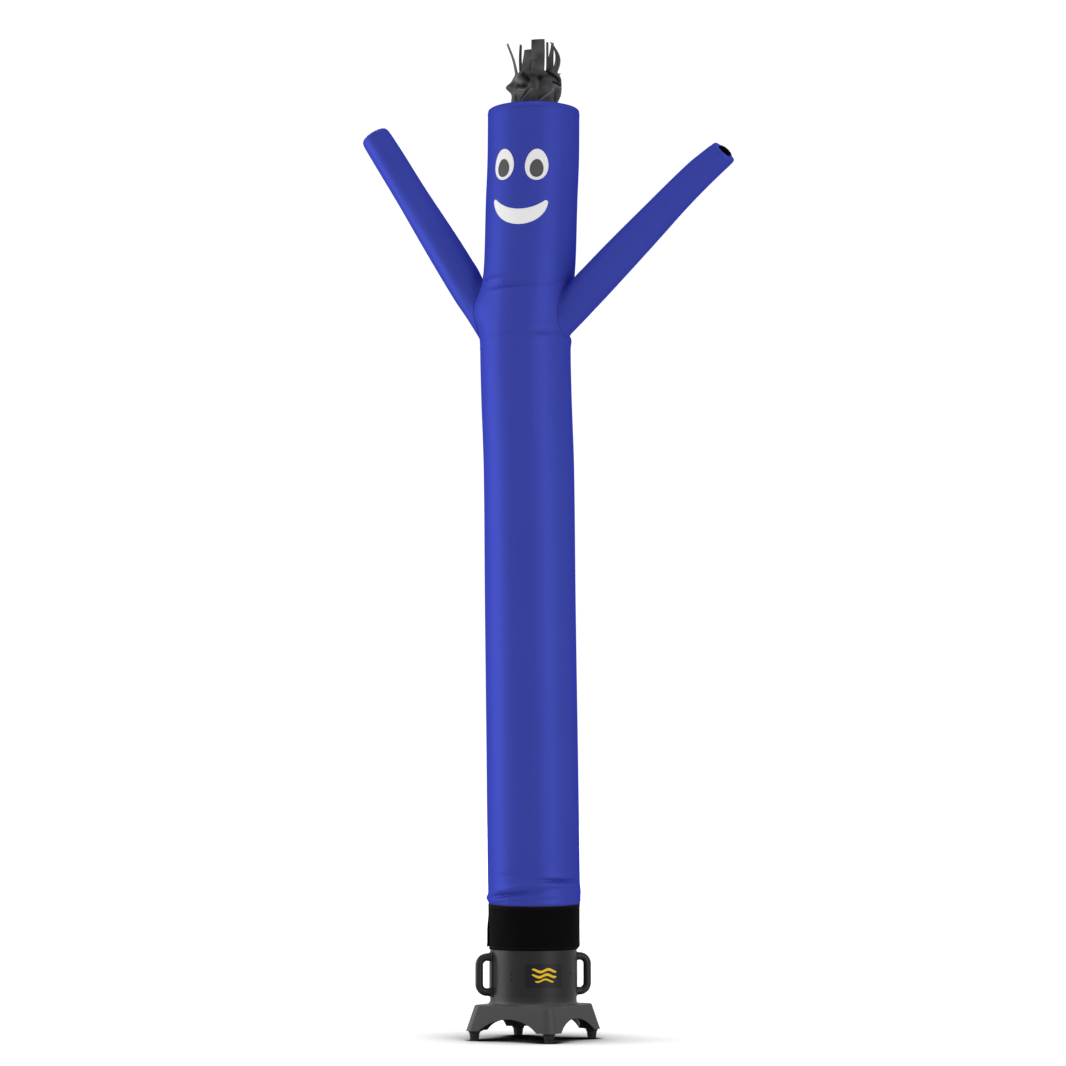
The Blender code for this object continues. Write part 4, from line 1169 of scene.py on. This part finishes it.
def make_face():
    """Two eye patches with pupils, and the smile, each sewn on near its edge."""
    white_rows, pupil_rows = [], []
    for eye in EYES:
        across = radians(eye.bearing) * HEAD_R
        white_rows.append(add_eye_patch(
            "eye_white_" + eye.side, "white", "white_patch", across, eye.height,
            (EYE_HALF_WIDTH, EYE_HALF_HEIGHT), WHITE_LIFT, WHITE_SEW))
        pupil_rows.append(add_eye_patch(
            "pupil_" + eye.side, "pupil", "grey_patch", across, eye.height - PUPIL_DROP,
            (PUPIL_HALF_WIDTH, PUPIL_HALF_HEIGHT), PUPIL_LIFT, PUPIL_SEW))
    angle, width = mouth_stations(81)
    side, height = mouth_place(angle, np.linspace(1, -1, 19)[:, None] * width)
    add_patch("mouth", "white", "white_patch", side, height, WHITE_LIFT)
    inset = np.maximum(width - WHITE_SEW, 0.0004)
    there, back = mouth_place(angle, inset), mouth_place(angle[::-1], -inset[::-1])
    line = face_point(*np.concatenate([there, back], axis=1), WHITE_LIFT + THREAD_LIFT)
    white_rows.append((line, True))
    add_stitches("face_stitches", white_rows, "white_thread", "white_patch", WHITE_STITCH)
    add_stitches("pupil_stitches", pupil_rows, "black_thread", "grey_patch", PUPIL_STITCH)


# ---------------------------------------------------------------- hair

HAIR_FINE = 6  # fine columns to each of the frame's columns
HAIR_TUBE_ROWS = 64
STRIP_ROWS = 56
DEEP_FOLD = 0.0042  # pressed in as far as this, the cloth gets its darkest painted shade


def hair_wave(bearing, up):
    """The main crumple, which dies out towards the sewn root."""
    angle = np.radians(bearing)
    ripple = np.sin(HAIR_CREASES * angle + 34.0 * up) + 0.6 * np.sin(4 * angle - 48.0 * up + 1.3)
    return HAIR_CREASE_OUT * np.clip(up / 0.05, 0, 1) * ripple


def hair_crumple(bearing, up):
    """Sharp creases of the hair's cloth, each along a line, and how deep in a fold a place is, for
    painted shade and highlight.
    """
    total = 0.0
    for crease in HAIR_CREASE_LINES:
        across = turn_from(crease.bearing, bearing) * HAIR_PER_DEGREE
        above = up - crease.height
        run = (crease.to_bearing - crease.bearing) * HAIR_PER_DEGREE
        rise = crease.to_height - crease.height
        share = np.clip((across * run + above * rise) / (run**2 + rise**2), 0, 1)
        away = np.hypot(across - share * run, above - share * rise)
        total = total + crease.out * np.maximum(1 - away / crease.half, 0) ** 1.4
    free = smooth_step(up / 0.015)
    return total * free, np.clip(-total / DEEP_FOLD, -1, 1) * free


def strip_points(number, strip, bearing, edge, t):
    """One strip above the tube's cut edge; `t` is the share of the way to its tip."""
    mouth = HAIR_TUBE[-1]
    across = np.linspace(-1, 1, len(bearing))
    out = edge * (1 - t) + t * (mouth.radius + 0.25 * (edge - mouth.radius))
    out = out + strip.out * t + strip.belly * np.sin(pi * t)
    out = out + 0.0012 * np.sin(5.0 * t + number * 1.7) * t
    out = out + 0.0016 * np.sin(3.0 * t + number) * (across**2 - 0.4) * t
    ragged = 0.0016 * np.sin(2.0 * number + 1.0) * across * t
    low = HAIR_LOW_Z + mouth.height
    middle = (bearing[0] + bearing[-1]) / 2
    turned = middle + (bearing - middle) * (1 - strip.narrow * t) + strip.swing * t**0.7
    points = round_point(turned, out, low + t * (strip.top - low) + ragged)
    points[..., 0] += mouth.shift
    return points


def make_hair():
    """A crumpled tube of black nylon whose upper part is cut into strips."""
    bearing = np.degrees(circle(HAIR_COLUMNS * HAIR_FINE))
    mouth = HAIR_TUBE[-1]
    up = np.linspace(0, mouth.height, HAIR_TUBE_ROWS)[:, None]
    radius, shift = (read_table([(ring.height, getattr(ring, column)) for ring in HAIR_TUBE], up)
                     for column in ("radius", "shift"))
    crumple, folded = hair_crumple(bearing, up)
    radius = radius + hair_wave(bearing, up) + crumple
    radius = radius + fold_out(HAIR_FOLDS, bearing, HAIR_LOW_Z + up)
    tube = round_point(bearing, radius, HAIR_LOW_Z + up)
    tube[..., 0] += shift

    first_strip_row = HAIR_TUBE_ROWS - 1
    keep = np.ones((first_strip_row + STRIP_ROWS, len(bearing)), bool)
    keep[first_strip_row:] = False
    t = np.linspace(0, 1, STRIP_ROWS + 1)[1:, None]
    strips = np.repeat(tube[-1:], STRIP_ROWS, axis=0)
    for number, strip in enumerate(STRIPS):
        first, last = strip.first * HAIR_FINE, strip.last * HAIR_FINE
        here = slice(first, last + 1)
        keep[first_strip_row:, first:last] = True
        strips[:, here] = strip_points(number, strip, bearing[here], radius[-1, here], t)
    long = np.concatenate([up, mouth.height + t * 0.11])
    uv = np.stack(np.broadcast_arrays(np.radians(bearing) * 0.08, long), axis=-1)
    # the painted fold shade fades out up the strips
    folded = np.concatenate([folded, folded[-1:] * (1 - t) ** 6])
    points = np.concatenate([tube, strips])
    mesh = cloth_mesh("hair_cloth", points, uv, True, HAIR_THICK, keep, folded)
    hair = add_piece("hair_cloth", mesh, "hair", "black_cloth", "hair")
    line = round_point(np.degrees(circle(240)), 0.0794, HAIR_LOW_Z + 0.006)
    add_stitches("hair_stitches", [(line, True)], "black_thread", "black_cloth")


# ---------------------------------------------------------------- collar

COLLAR_HEM = 0.011
HEM_EDGE = 0.002
TAIL_FROM = 318.0  # degrees swept to where the tail starts to lift
TAIL_FREE = 366.0  # and to where it stands off the layer below
COLLAR_SEW = 0.0002  # how far the stitches lie above the band
COLLAR_STITCH = Stitch(0.0046, 0.0036, 0.00045)
HEM_STITCH = Stitch(0.0040, 0.0038, 0.0006)


def collar_point(swept, share, lift=0.0):
    """Points on the band: degrees swept from its inner end, and its share of the way up."""
    bearing = COLLAR_START + swept
    tail = smooth_step((swept - TAIL_FROM) / 36.0)
    top = hem_z(bearing) - FIT
    low = COLLAR_LOW_Z + TAIL_SHORT * tail
    height = low + share * (top - low)
    free = smooth_step((swept - TAIL_FREE) / 30.0) * smooth_step((0.420 - height) / 0.060)
    drawn_in = hump(height - COLLAR_LOW_Z, 0.007) * (1 - tail)
    radius = COLLAR_R + fold_out(COLLAR_FOLDS, bearing, height) * (1 - tail)
    radius = radius + TAIL_LIFT * tail + TAIL_STAND_OFF * free
    radius = radius - (COLLAR_R - COLLAR_THICK - DRUM_R - COLLAR_GRIP) * drawn_in
    from_edge = np.minimum(height - low, top - height)
    hem = smooth_step((COLLAR_HEM - from_edge) / HEM_EDGE)
    angle = np.radians(bearing)
    slack = 0.0004 * np.sin(7 * angle + 20 * height) + 0.0003 * np.sin(12 * angle - 31 * height)
    radius = radius + 0.0006 * hem + slack * (1 - drawn_in) * (1 - hem) + lift
    return on_axis(BASE_X + COLLAR_SHIFT * (1 - drawn_in), radius, height, angle)


def collar_row(swept, share, lift):
    """An open line of points on the band."""
    return collar_point(*np.broadcast_arrays(swept, share), lift), False


def make_collar():
    """A band of black webbing cloth round the drum, overlapping itself at one side."""
    share = spaced((0.0, 0.10, 16), (0.10, 0.90, 40), (0.90, 1.0, 14))
    swept, share = np.meshgrid(np.linspace(0, COLLAR_SWEEP, 331), share)
    points = collar_point(swept, share)
    uv = np.stack([np.radians(swept) * COLLAR_R, points[..., 2]], axis=-1)
    mesh = cloth_mesh("collar_band", points, uv, False, COLLAR_THICK)
    band = add_piece("collar_band", mesh, "webbing", "collar", "collar")
    along = np.linspace(1.5, COLLAR_SWEEP - 1.5, 500)
    rows = [collar_row(along, 0.055, COLLAR_SEW), collar_row(along, 0.935, COLLAR_SEW),
            collar_row(COLLAR_SWEEP - 1.6, np.linspace(0.03, 0.97, 80), COLLAR_SEW)]
    add_stitches("collar_stitches", rows, "black_thread", "collar", COLLAR_STITCH)
    rows = [collar_row(np.linspace(0.5, COLLAR_SWEEP - 37.0, 500), 0.985, 0.0003)]
    add_stitches("hem_stitches", rows, "red_thread", "collar", HEM_STITCH)


# ---------------------------------------------------------------- blower base

DECK_SINK = 0.006  # the drum goes this far into the deck
GRIP_SIDES = 28
GRIP_SPREAD = 0.0045  # how much thicker a handle is where it meets the drum
GRIP_INSIDE = 0.010  # how far a handle's ends reach inside the drum
MERGE_WITHIN = 0.00008  # corners of the cut base closer than this are one
SOFT_EDGE = 0.0022
SEAT_R = DRUM_R + FIT  # where what is fixed to the drum's side starts
UPRIGHT = Matrix.Rotation(pi / 2, 4, "Y")  # turns what is modelled along Z out of the drum's side


def base_place(turn=0.0, out=0.0, up=0.0):
    """Puts something modelled round the base's own axis, or out from it, in its place."""
    turned = Matrix.Rotation(radians(BASE_TURN + turn), 4, "Z")
    return Matrix.Translation((BASE_X, 0, 0)) @ turned @ Matrix.Translation((out, 0, up))


def soften(bm, edges, offset, segments=3, **settings):
    """Round some edges of a bmesh."""
    bmesh.ops.bevel(bm, geom=edges, offset=offset, segments=segments, profile=0.5,
                    affect="EDGES", **settings)


def drum_form():
    """The drum's outside with its rounded top, and the fillet that spreads onto the deck."""
    edge = 0.003
    profile = [(0.0, DRUM_TOP_Z)]
    profile += arc(DRUM_R - edge, DRUM_TOP_Z - edge, edge, 90, 0, 5)
    profile += [(DRUM_R, 0.36), (DRUM_R, 0.27), (DRUM_R, 0.20)]
    spread = DRUM_R + DRUM_FILLET
    profile += arc(spread, DECK_Z - 0.0010 + DRUM_FILLET, DRUM_FILLET, 180, 270, 13)
    profile += [(spread, DECK_Z - DECK_SINK), (0.0, DECK_Z - DECK_SINK)]
    drum = placed("drum", turned_mesh("drum", profile, 128))
    bm = bmesh.new()
    side = 2 * (DECK_HALF - 0.0045)  # the fillet stops short of the deck's edges
    add_box(bm, (0, 0, 0.3), (side, side, 0.6))
    return cut(drum, [placed("deck_room", built_mesh("deck_room", bm))], "INTERSECT")


def skirt_form():
    """The square deck and skirt: a four-sided cone frustum with rounded corner edges."""
    bm = bmesh.new()
    bmesh.ops.create_cone(
        bm, cap_ends=True, segments=4, radius1=SKIRT_HALF * sqrt(2), radius2=DECK_HALF * sqrt(2),
        depth=DECK_Z - LEG_FOOT_Z, matrix=Matrix.Translation((0, 0, (DECK_Z + LEG_FOOT_Z) / 2)),
    )
    corners = [e for e in bm.edges if abs(e.verts[0].co.z - e.verts[1].co.z) > 0.01]
    soften(bm, corners, CORNER_ROUND, 8)
    bmesh.ops.rotate(bm, matrix=Matrix.Rotation(pi / 4, 3, "Z"), verts=bm.verts)
    soften(bm, [e for e in bm.edges if min(v.co.z for v in e.verts) > DECK_Z - 0.001], 0.004)
    return placed("skirt", built_mesh("skirt", bm))


def cut(obj, tools, operation):
    """Cut or join a working object with others, and remove them."""
    for tool in tools:
        modifier = obj.modifiers.new("cut", "BOOLEAN")
        modifier.operation = operation
        modifier.solver = "EXACT"
        modifier.object = tool
    mesh = evaluated_mesh(obj)
    for tool in tools:
        bpy.data.objects.remove(tool, do_unlink=True)
    return placed(mesh.name, mesh)


def base_hollows():
    """What is cut out of the base: its bore and round hollow, and an arch through each way."""
    low = LEG_FOOT_Z - 0.02
    taper = (HOLLOW_HIGH_R - HOLLOW_LOW_R) / (HOLLOW_TOP_Z - LEG_FOOT_Z)
    at_step = HOLLOW_LOW_R + taper * (LEG_STEP_Z - LEG_FOOT_Z)
    bore, above = DRUM_R - DRUM_WALL, 0.45
    hollow = [(0.0, above), (bore, above), (bore, HOLLOW_TOP_Z), (HOLLOW_HIGH_R, HOLLOW_TOP_Z),
              (at_step, LEG_STEP_Z), (LEG_STEP_R, LEG_STEP_Z), (LEG_STEP_R, low), (0.0, low)]
    tools = [placed("hollow", turned_mesh("hollow", hollow, 120))]
    rise = ARCH_PEAK_Z - LEG_FOOT_Z
    arch_r = (ARCH_HALF**2 + rise**2) / (2 * rise)
    profile = [(0, 0.3), (arch_r, 0.3), (arch_r, -0.3), (0, -0.3)]
    lying = Matrix.Translation((0, 0, ARCH_PEAK_Z - arch_r)) @ Matrix.Rotation(pi / 2, 4, "X")
    for turn in (0, pi / 2):
        arch = placed("arch", turned_mesh("arch", profile, 160))
        arch.matrix_world = Matrix.Rotation(turn, 4, "Z") @ lying
        tools.append(arch)
    return tools


def settled_faces(mesh):
    """A cut mesh's corners and faces, the close corners merged and all in a fixed order.

    A cut leaves them in an order of its own, which isn't the same in each run.
    """
    points = np.array([v.co[:] for v in mesh.vertices]).round(5)
    order = np.lexsort(points.T)
    points = points[order]
    rank = np.argsort(order)
    tree = KDTree(len(points))
    for i, point in enumerate(points):
        tree.insert(point, i)
    tree.balance()
    merged = [min(hit[1] for hit in tree.find_range(point, MERGE_WITHIN)) for point in points]
    faces = set()
    for face in mesh.polygons:
        corners = list(dict.fromkeys(merged[merged[rank[v]]] for v in face.vertices))
        if len(corners) > 2:
            first = corners.index(min(corners))
            faces.add((*corners[first:], *corners[:first]))
    return points, sorted(faces)


def face_number(face):
    """A number of its own for each face, from the numbers of its corners."""
    return float(np.dot(sorted(v.index for v in face.verts)[:3], (1e8, 1e4, 1)))


def is_outer_edge(edge):
    """Whether an edge of the base is a sharp outer one, at or below its deck."""
    return (edge.is_manifold and edge.calc_face_angle(0) > radians(30) and edge.is_convex
            and max(v.co.z for v in edge.verts) < DECK_Z + 0.001
            and min(v.co.xy.length for v in edge.verts) > HOLLOW_HIGH_R - 0.001)


def make_housing():
    """The moulded base: drum, deck, skirt and four legs, with soft edges."""
    shell = cut(cut(skirt_form(), [drum_form()], "UNION"), base_hollows(), "DIFFERENCE")
    points, faces = settled_faces(shell.data)
    bm = bmesh.new()
    corners = [bm.verts.new(point) for point in points]
    for face in faces:
        bm.faces.new([corners[i] for i in face])
    bmesh.ops.delete(bm, geom=[v for v in corners if not v.link_faces], context="VERTS")
    bmesh.ops.dissolve_limit(bm, angle_limit=radians(0.6), verts=bm.verts, edges=bm.edges)
    sharp = [e for e in bm.edges if is_outer_edge(e)]
    soften(bm, sharp, SOFT_EDGE, clamp_overlap=True, harden_normals=False)
    bmesh.ops.triangulate(bm, faces=[f for f in bm.faces if len(f.verts) > 4])
    bm.verts.index_update()
    bm.faces.sort(key=face_number)
    bm.to_mesh(shell.data)
    bm.free()
    shell.data.shade_smooth()
    shell.modifiers.new("even_shading", "WEIGHTED_NORMAL").weight = 90
    mesh = evaluated_mesh(shell)
    mesh.transform(base_place())
    add_piece("housing_shell", mesh, "plastic", "housing", "housing")


def grip_path():
    """Centre line of a handle in its own X-Z plane, from inside the drum and back."""
    inside, outside = DRUM_R - GRIP_INSIDE, DRUM_R + 0.004
    middle = HANDLE_REACH - HANDLE_BEND
    high, low = HANDLE_HIGH_Z - HANDLE_BEND, HANDLE_LOW_Z + HANDLE_BEND
    points = [(inside, HANDLE_HIGH_Z), (outside, HANDLE_HIGH_Z)]
    points += arc(middle, high, HANDLE_BEND, 90, 0, 13)
    points += [(HANDLE_REACH, z) for z in np.linspace(high, low, 8)[1:-1]]
    points += arc(middle, low, HANDLE_BEND, 0, -90, 13)
    return points + [(outside, HANDLE_LOW_Z), (inside, HANDLE_LOW_Z)]


def make_handles():
    """Two D-shaped handles whose ends spread where they meet the drum."""
    path = grip_path()
    across = Vector((0, 1, 0))
    tall = HANDLE_HIGH_Z - HANDLE_LOW_Z
    for side in ("left", "right"):
        bm = bmesh.new()
        rings = []
        for i, (x, z) in enumerate(path):
            before, after = path[max(i - 1, 0)], path[min(i + 1, len(path) - 1)]
            way = Vector((after[0] - before[0], 0, after[1] - before[1])).normalized()
            out = across.cross(way)
            spread = GRIP_SPREAD * float(np.exp(-(max(x - DRUM_R, 0.0) / 0.004)))
            radius = HANDLE_BAR_R + spread * (x < DRUM_R + 0.012)
            spokes = [cos(a) * out + sin(a) * across for a in circle(GRIP_SIDES)]
            rings.append([bm.verts.new(Vector((x, 0, z)) + radius * spoke) for spoke in spokes])
        join_rings(bm, rings)
        bm.faces.new(rings[0])
        bm.faces.new(rings[-1])
        middle = (DRUM_R + 0.0005, 0, HANDLE_LOW_Z + tall / 2)
        plate = add_box(bm, middle, (0.006, 0.034, tall + 0.034))
        soften(bm, list({e for v in plate for e in v.link_edges}), 0.0024)
        bmesh.ops.recalc_face_normals(bm, faces=bm.faces)
        mesh = built_mesh("handle", bm)
        mesh.transform(base_place(CORNERS[side]))
        add_piece(f"handle_{side}_grip", mesh, "plastic", "housing", "handle_" + side)


FOOT_PROFILE = [  # radius and height, from the seat in the leg over the pressed rib to the sole
    (0.0, 0.0317), (0.0192, 0.0317), (0.0200, 0.0310), (0.0200, 0.0268), (0.0192, 0.0258),
    (0.0172, 0.0250), (0.0164, 0.0205), (0.0158, 0.0180), (0.0163, 0.0170), (0.0163, 0.0155),
    (0.0156, 0.0145), (0.0146, 0.0060), (0.0142, 0.0022), (0.0132, 0.0004), (0.0120, 0.0),
    (0.0080, 0.0), (0.0076, 0.0010), (0.0, 0.0010),
]
GLAND_PROFILE = [  # radius and distance out of the drum, from the lead's hole to the seat
    (0.0, 0.0195), (0.0030, 0.0195), (0.0030, 0.0235), (0.0048, 0.0240), (0.0055, 0.0235),
    (0.0060, 0.0160), (0.0078, 0.0152), (0.0085, 0.0140), (0.0085, 0.0065), (0.0112, 0.0056),
    (0.0120, 0.0044), (0.0120, 0.0), (0.0, 0.0),
]
SCREW_PROFILE = [  # shares of the head's radius and height
    (0.0, 1.0), (0.3, 0.98), (0.6, 0.86), (0.85, 0.56), (1.0, 0.15), (1.0, 0.0), (0.0, 0.0),
]
Screw = namedtuple("Screw", "name bearing height")
SCREWS = [
    Screw("screw_left_high", 270.0, 0.222),
    Screw("screw_left_low", 270.0, 0.203),
    Screw("screw_right", 0.0, 0.222),
]
LABEL_MIDDLE = 315.0
LABEL_THICK = 0.0009
INK_LIFT = 0.00105
Wave = namedtuple("Wave", "height reach thick")
WAVES = [Wave(0.2335, 0.66, 0.0085), Wave(0.2165, 0.66, 0.0085), Wave(0.2010, 0.50, 0.0060)]


def make_feet():
    """Rubber feet with a pressed rib and a rounded sole."""
    for corner, bearing in CORNERS.items():
        mesh = turned_mesh("foot", FOOT_PROFILE, 48)
        mesh.transform(base_place(bearing, FOOT_AT_R))
        add_piece(f"foot_{corner}_rubber", mesh, "rubber", "foot", "foot_" + corner)


def on_drum(name, bearing, height, thickness, radius):
    """A thin sheet that lies on the drum, at bearings in the base's own frame."""
    points = on_axis(BASE_X, radius, height, np.radians(bearing + BASE_TURN))
    uv = np.stack(np.broadcast_arrays(np.radians(bearing) * DRUM_R, height), axis=-1)
    return cloth_mesh(name, points, uv, False, thickness)


def make_label():
    """The bare plate on the drum and, lying on it, three plain waves of air."""
    half = np.degrees(LABEL_WIDTH / 2 / SEAT_R)
    bearing, height = np.meshgrid(np.linspace(LABEL_MIDDLE - half, LABEL_MIDDLE + half, 49),
                                  np.linspace(LABEL_LOW_Z, LABEL_HIGH_Z, 25))
    plate = on_drum("label_plate_face", bearing, height, LABEL_THICK, SEAT_R + LABEL_THICK)
    add_piece("label_plate_face", plate, "label", "label", "label_plate")
    bm = bmesh.new()
    share = np.linspace(-1, 1, 5)[:, None]
    for row, wave in enumerate(WAVES):
        along = np.linspace(-wave.reach, wave.reach, 61)
        line = wave.height + 0.0042 * np.sin(along * 7.5 + 0.6 * row)
        taper = wave.thick / 2 * np.sqrt(np.maximum(1 - np.abs(along / wave.reach) ** 6, 0.02))
        bearing = LABEL_MIDDLE + half * along + 0 * share
        mesh = on_drum("wave", bearing, line + share * taper, 0.0003, SEAT_R + INK_LIFT)
        bm.from_mesh(mesh)
        bpy.data.meshes.remove(mesh)
    add_piece("label_waves", built_mesh("label_waves", bm), "ink", "label")


def make_fittings():
    """Screw heads with crossed recesses, and the gland for the mains lead."""
    r, h = SCREW_HEAD_R, SCREW_HEAD_H
    dome = [(r * across, h * up) for across, up in SCREW_PROFILE]
    for screw in SCREWS:
        recesses = []
        for turn in (20.0, 110.0):
            bm = bmesh.new()
            add_box(bm, (0, 0, 1.05 * h), (1.3 * r, 0.28 * r, 0.8 * h), radians(turn))
            recesses.append(placed("recess", built_mesh("recess", bm)))
        head = placed("screw", turned_mesh("screw", dome, 32))
        mesh = evaluated_mesh(cut(head, recesses, "DIFFERENCE"))
        mesh.transform(base_place(screw.bearing, SEAT_R, screw.height) @ UPRIGHT)
        add_piece(screw.name + "_head", mesh, "screw", "screw", screw.name)
    mesh = turned_mesh("cable_gland_nut", GLAND_PROFILE, 48)
    mesh.transform(base_place(CORNERS["rear"], SEAT_R + 0.0006, 0.160) @ UPRIGHT)
    add_piece("cable_gland_nut", mesh, "rubber", "foot", "cable_gland")


# ---------------------------------------------------------------- studio

FLOOR_R = 60.0
CARD_R = 0.27
CARD_Z = -0.004
BOX_DISTANCE = 5.5
BOX_HEIGHT = 1.8
AIM_HEIGHT = 1.6
CAMERA_AZIMUTH = 16.3
CAMERA_DISTANCE = 12.0
CAMERA_HEIGHT = 0.85
CAMERA_PITCH = 3.97
CAMERA_ASIDE = 0.0013
LENS = 121.34


def floor_finish():
    """Pale, slightly glowing studio floor that takes soft shadows, with a contact shadow painted
    into its colour and glow round the base.
    """
    finish = Finish("studio_floor", 0.9, Roughness=1.0, Specular_IOR_Level=0.0,
                    Emission_Strength=0.6)

    def openness(samples, distance, direction):
        """How open the air over the floor is, round a direction."""
        way = finish.add("ShaderNodeCombineXYZ", None, dict(enumerate(direction)))
        return finish.add("ShaderNodeAmbientOcclusion", {"samples": samples},
                          {"Distance": distance, "Normal": way}, 1)

    # painted contact shadow, from how open the air is over each place of the floor, close by and
    # farther off
    near = openness(12, 0.16, (-0.10, 0.06, 0.993))
    wide = openness(8, 0.50, (0.087, -0.297, 0.951))
    # 1 outside the painted shadow, 0 in its dark core
    outside_painted_shadow = ((near - 0.55) * 4.4).clipped() * (wide * 1.5 - 0.5).clipped()
    # painted shadow in the floor's colour
    finish.feed("Base Color", finish.mix(outside_painted_shadow, 0.0, 0.95))
    away = finish.add("ShaderNodeVectorMath", {"operation": "LENGTH"}, {0: finish.place}, 1)
    far = ((away - 4.0) * 0.25).clipped()
    # painted shadow in the floor's glow near the base; farther off it glows evenly
    finish.feed("Emission Color", finish.mix(far, finish.mix(outside_painted_shadow * 0.35, 0.0, 1.0), 1.0))
    return finish.material


def plain_finish(name, **constants):
    """Dead black, apart from what it gives off itself."""
    return Finish(name, 0.0, Roughness=1.0, Specular_IOR_Level=0.0, **constants).material


def add_stage(name, bm, finish, *hidden_from):
    """Something of the studio, which some kinds of ray don't see."""
    obj = placed(name, built_mesh(name, bm))
    obj.data.materials.append(finish)
    for ray in hidden_from:
        setattr(obj, "visible_" + ray, False)


def add_light(name, kind, power):
    light = bpy.data.lights.new(name, kind)
    light.energy = power
    return light, placed(name, light)


def round_figure(azimuth, distance, height):
    """A place round the figure; azimuth 0 is where the face looks, and it turns to +X."""
    angle = radians(azimuth)
    return Vector((BASE_X + distance * sin(angle), -distance * cos(angle), height))


def make_lights():
    """Two tall soft boxes, a weak wide sun right above, and pale air all round."""
    for name, turn, size, power in (("left_box", -96, (4.6, 4.5), 208),
                                    ("right_box", 44, (3.4, 4.5), 105)):
        light, box = add_light(name, "AREA", power)
        light.shape = "RECTANGLE"
        light.size, light.size_y = size
        box.location = round_figure(CAMERA_AZIMUTH + turn, BOX_DISTANCE, BOX_HEIGHT)
        box.rotation_mode = "QUATERNION"
        away = box.location - Vector((BASE_X, 0, AIM_HEIGHT))
        box.rotation_quaternion = away.to_track_quat("Z", "Y")
    add_light("overhead", "SUN", 0.95)[0].angle = radians(14)

    world = bpy.data.worlds.new("studio_air")
    bpy.context.scene.world = world
    world.use_nodes = True
    air = Nodes(world.node_tree)
    way = air.add("ShaderNodeTexCoord", output="Generated")
    above = (air.upward(way) * 1.2 + 0.5).clipped()
    background = world.node_tree.nodes["Background"].inputs
    air.join(air.mix(above, 0.64, 0.58), background["Color"])
    background["Strength"].default_value = 1.0


def make_camera():
    camera = placed("camera", bpy.data.cameras.new("camera"))
    azimuth, pitch = radians(CAMERA_AZIMUTH), radians(CAMERA_PITCH)
    right = Vector((cos(azimuth), sin(azimuth), 0))
    forward = Vector((-sin(azimuth) * cos(pitch), cos(azimuth) * cos(pitch), sin(pitch)))
    place = Matrix((right, right.cross(forward), -forward)).transposed().to_4x4()
    at = round_figure(CAMERA_AZIMUTH, CAMERA_DISTANCE, CAMERA_HEIGHT)
    place.translation = at - right * CAMERA_ASIDE
    camera.matrix_world = place
    camera.data.sensor_width = 36.0
    camera.data.lens = LENS
    camera.data.clip_end = 200.0
    bpy.context.scene.camera = camera


def make_studio():
    """Floor, backdrop, a black card under the base, lights and camera."""
    bpy.context.scene.view_settings.view_transform = "Standard"
    bm = bmesh.new()
    bmesh.ops.create_circle(bm, cap_ends=True, radius=FLOOR_R, segments=96)
    add_stage("studio_floor", bm, floor_finish(), "diffuse", "glossy", "shadow")
    bm = bmesh.new()
    bmesh.ops.create_uvsphere(bm, u_segments=48, v_segments=24, radius=FLOOR_R - 1)
    bmesh.ops.reverse_faces(bm, faces=bm.faces)
    glow = plain_finish("studio_backdrop", Emission_Color=solid(1.0), Emission_Strength=1.05)
    add_stage("studio_backdrop", bm, glow, "diffuse", "glossy", "transmission", "shadow")
    bm = bmesh.new()
    under = Matrix.Translation((BASE_X, 0, CARD_Z))
    bmesh.ops.create_circle(bm, cap_ends=True, radius=CARD_R, segments=48, matrix=under)
    add_stage("studio_card", bm, plain_finish("black_card"), "camera")
    make_lights()
    make_camera()


# ---------------------------------------------------------------- build

make_studio()
make_housing()
make_handles()
make_feet()
make_label()
make_fittings()
make_collar()
make_tube()
make_top()
for arm in ARMS:
    make_arm(arm)
    make_vent_shade(arm)
make_face()
make_hair()
make_panel_stitches()
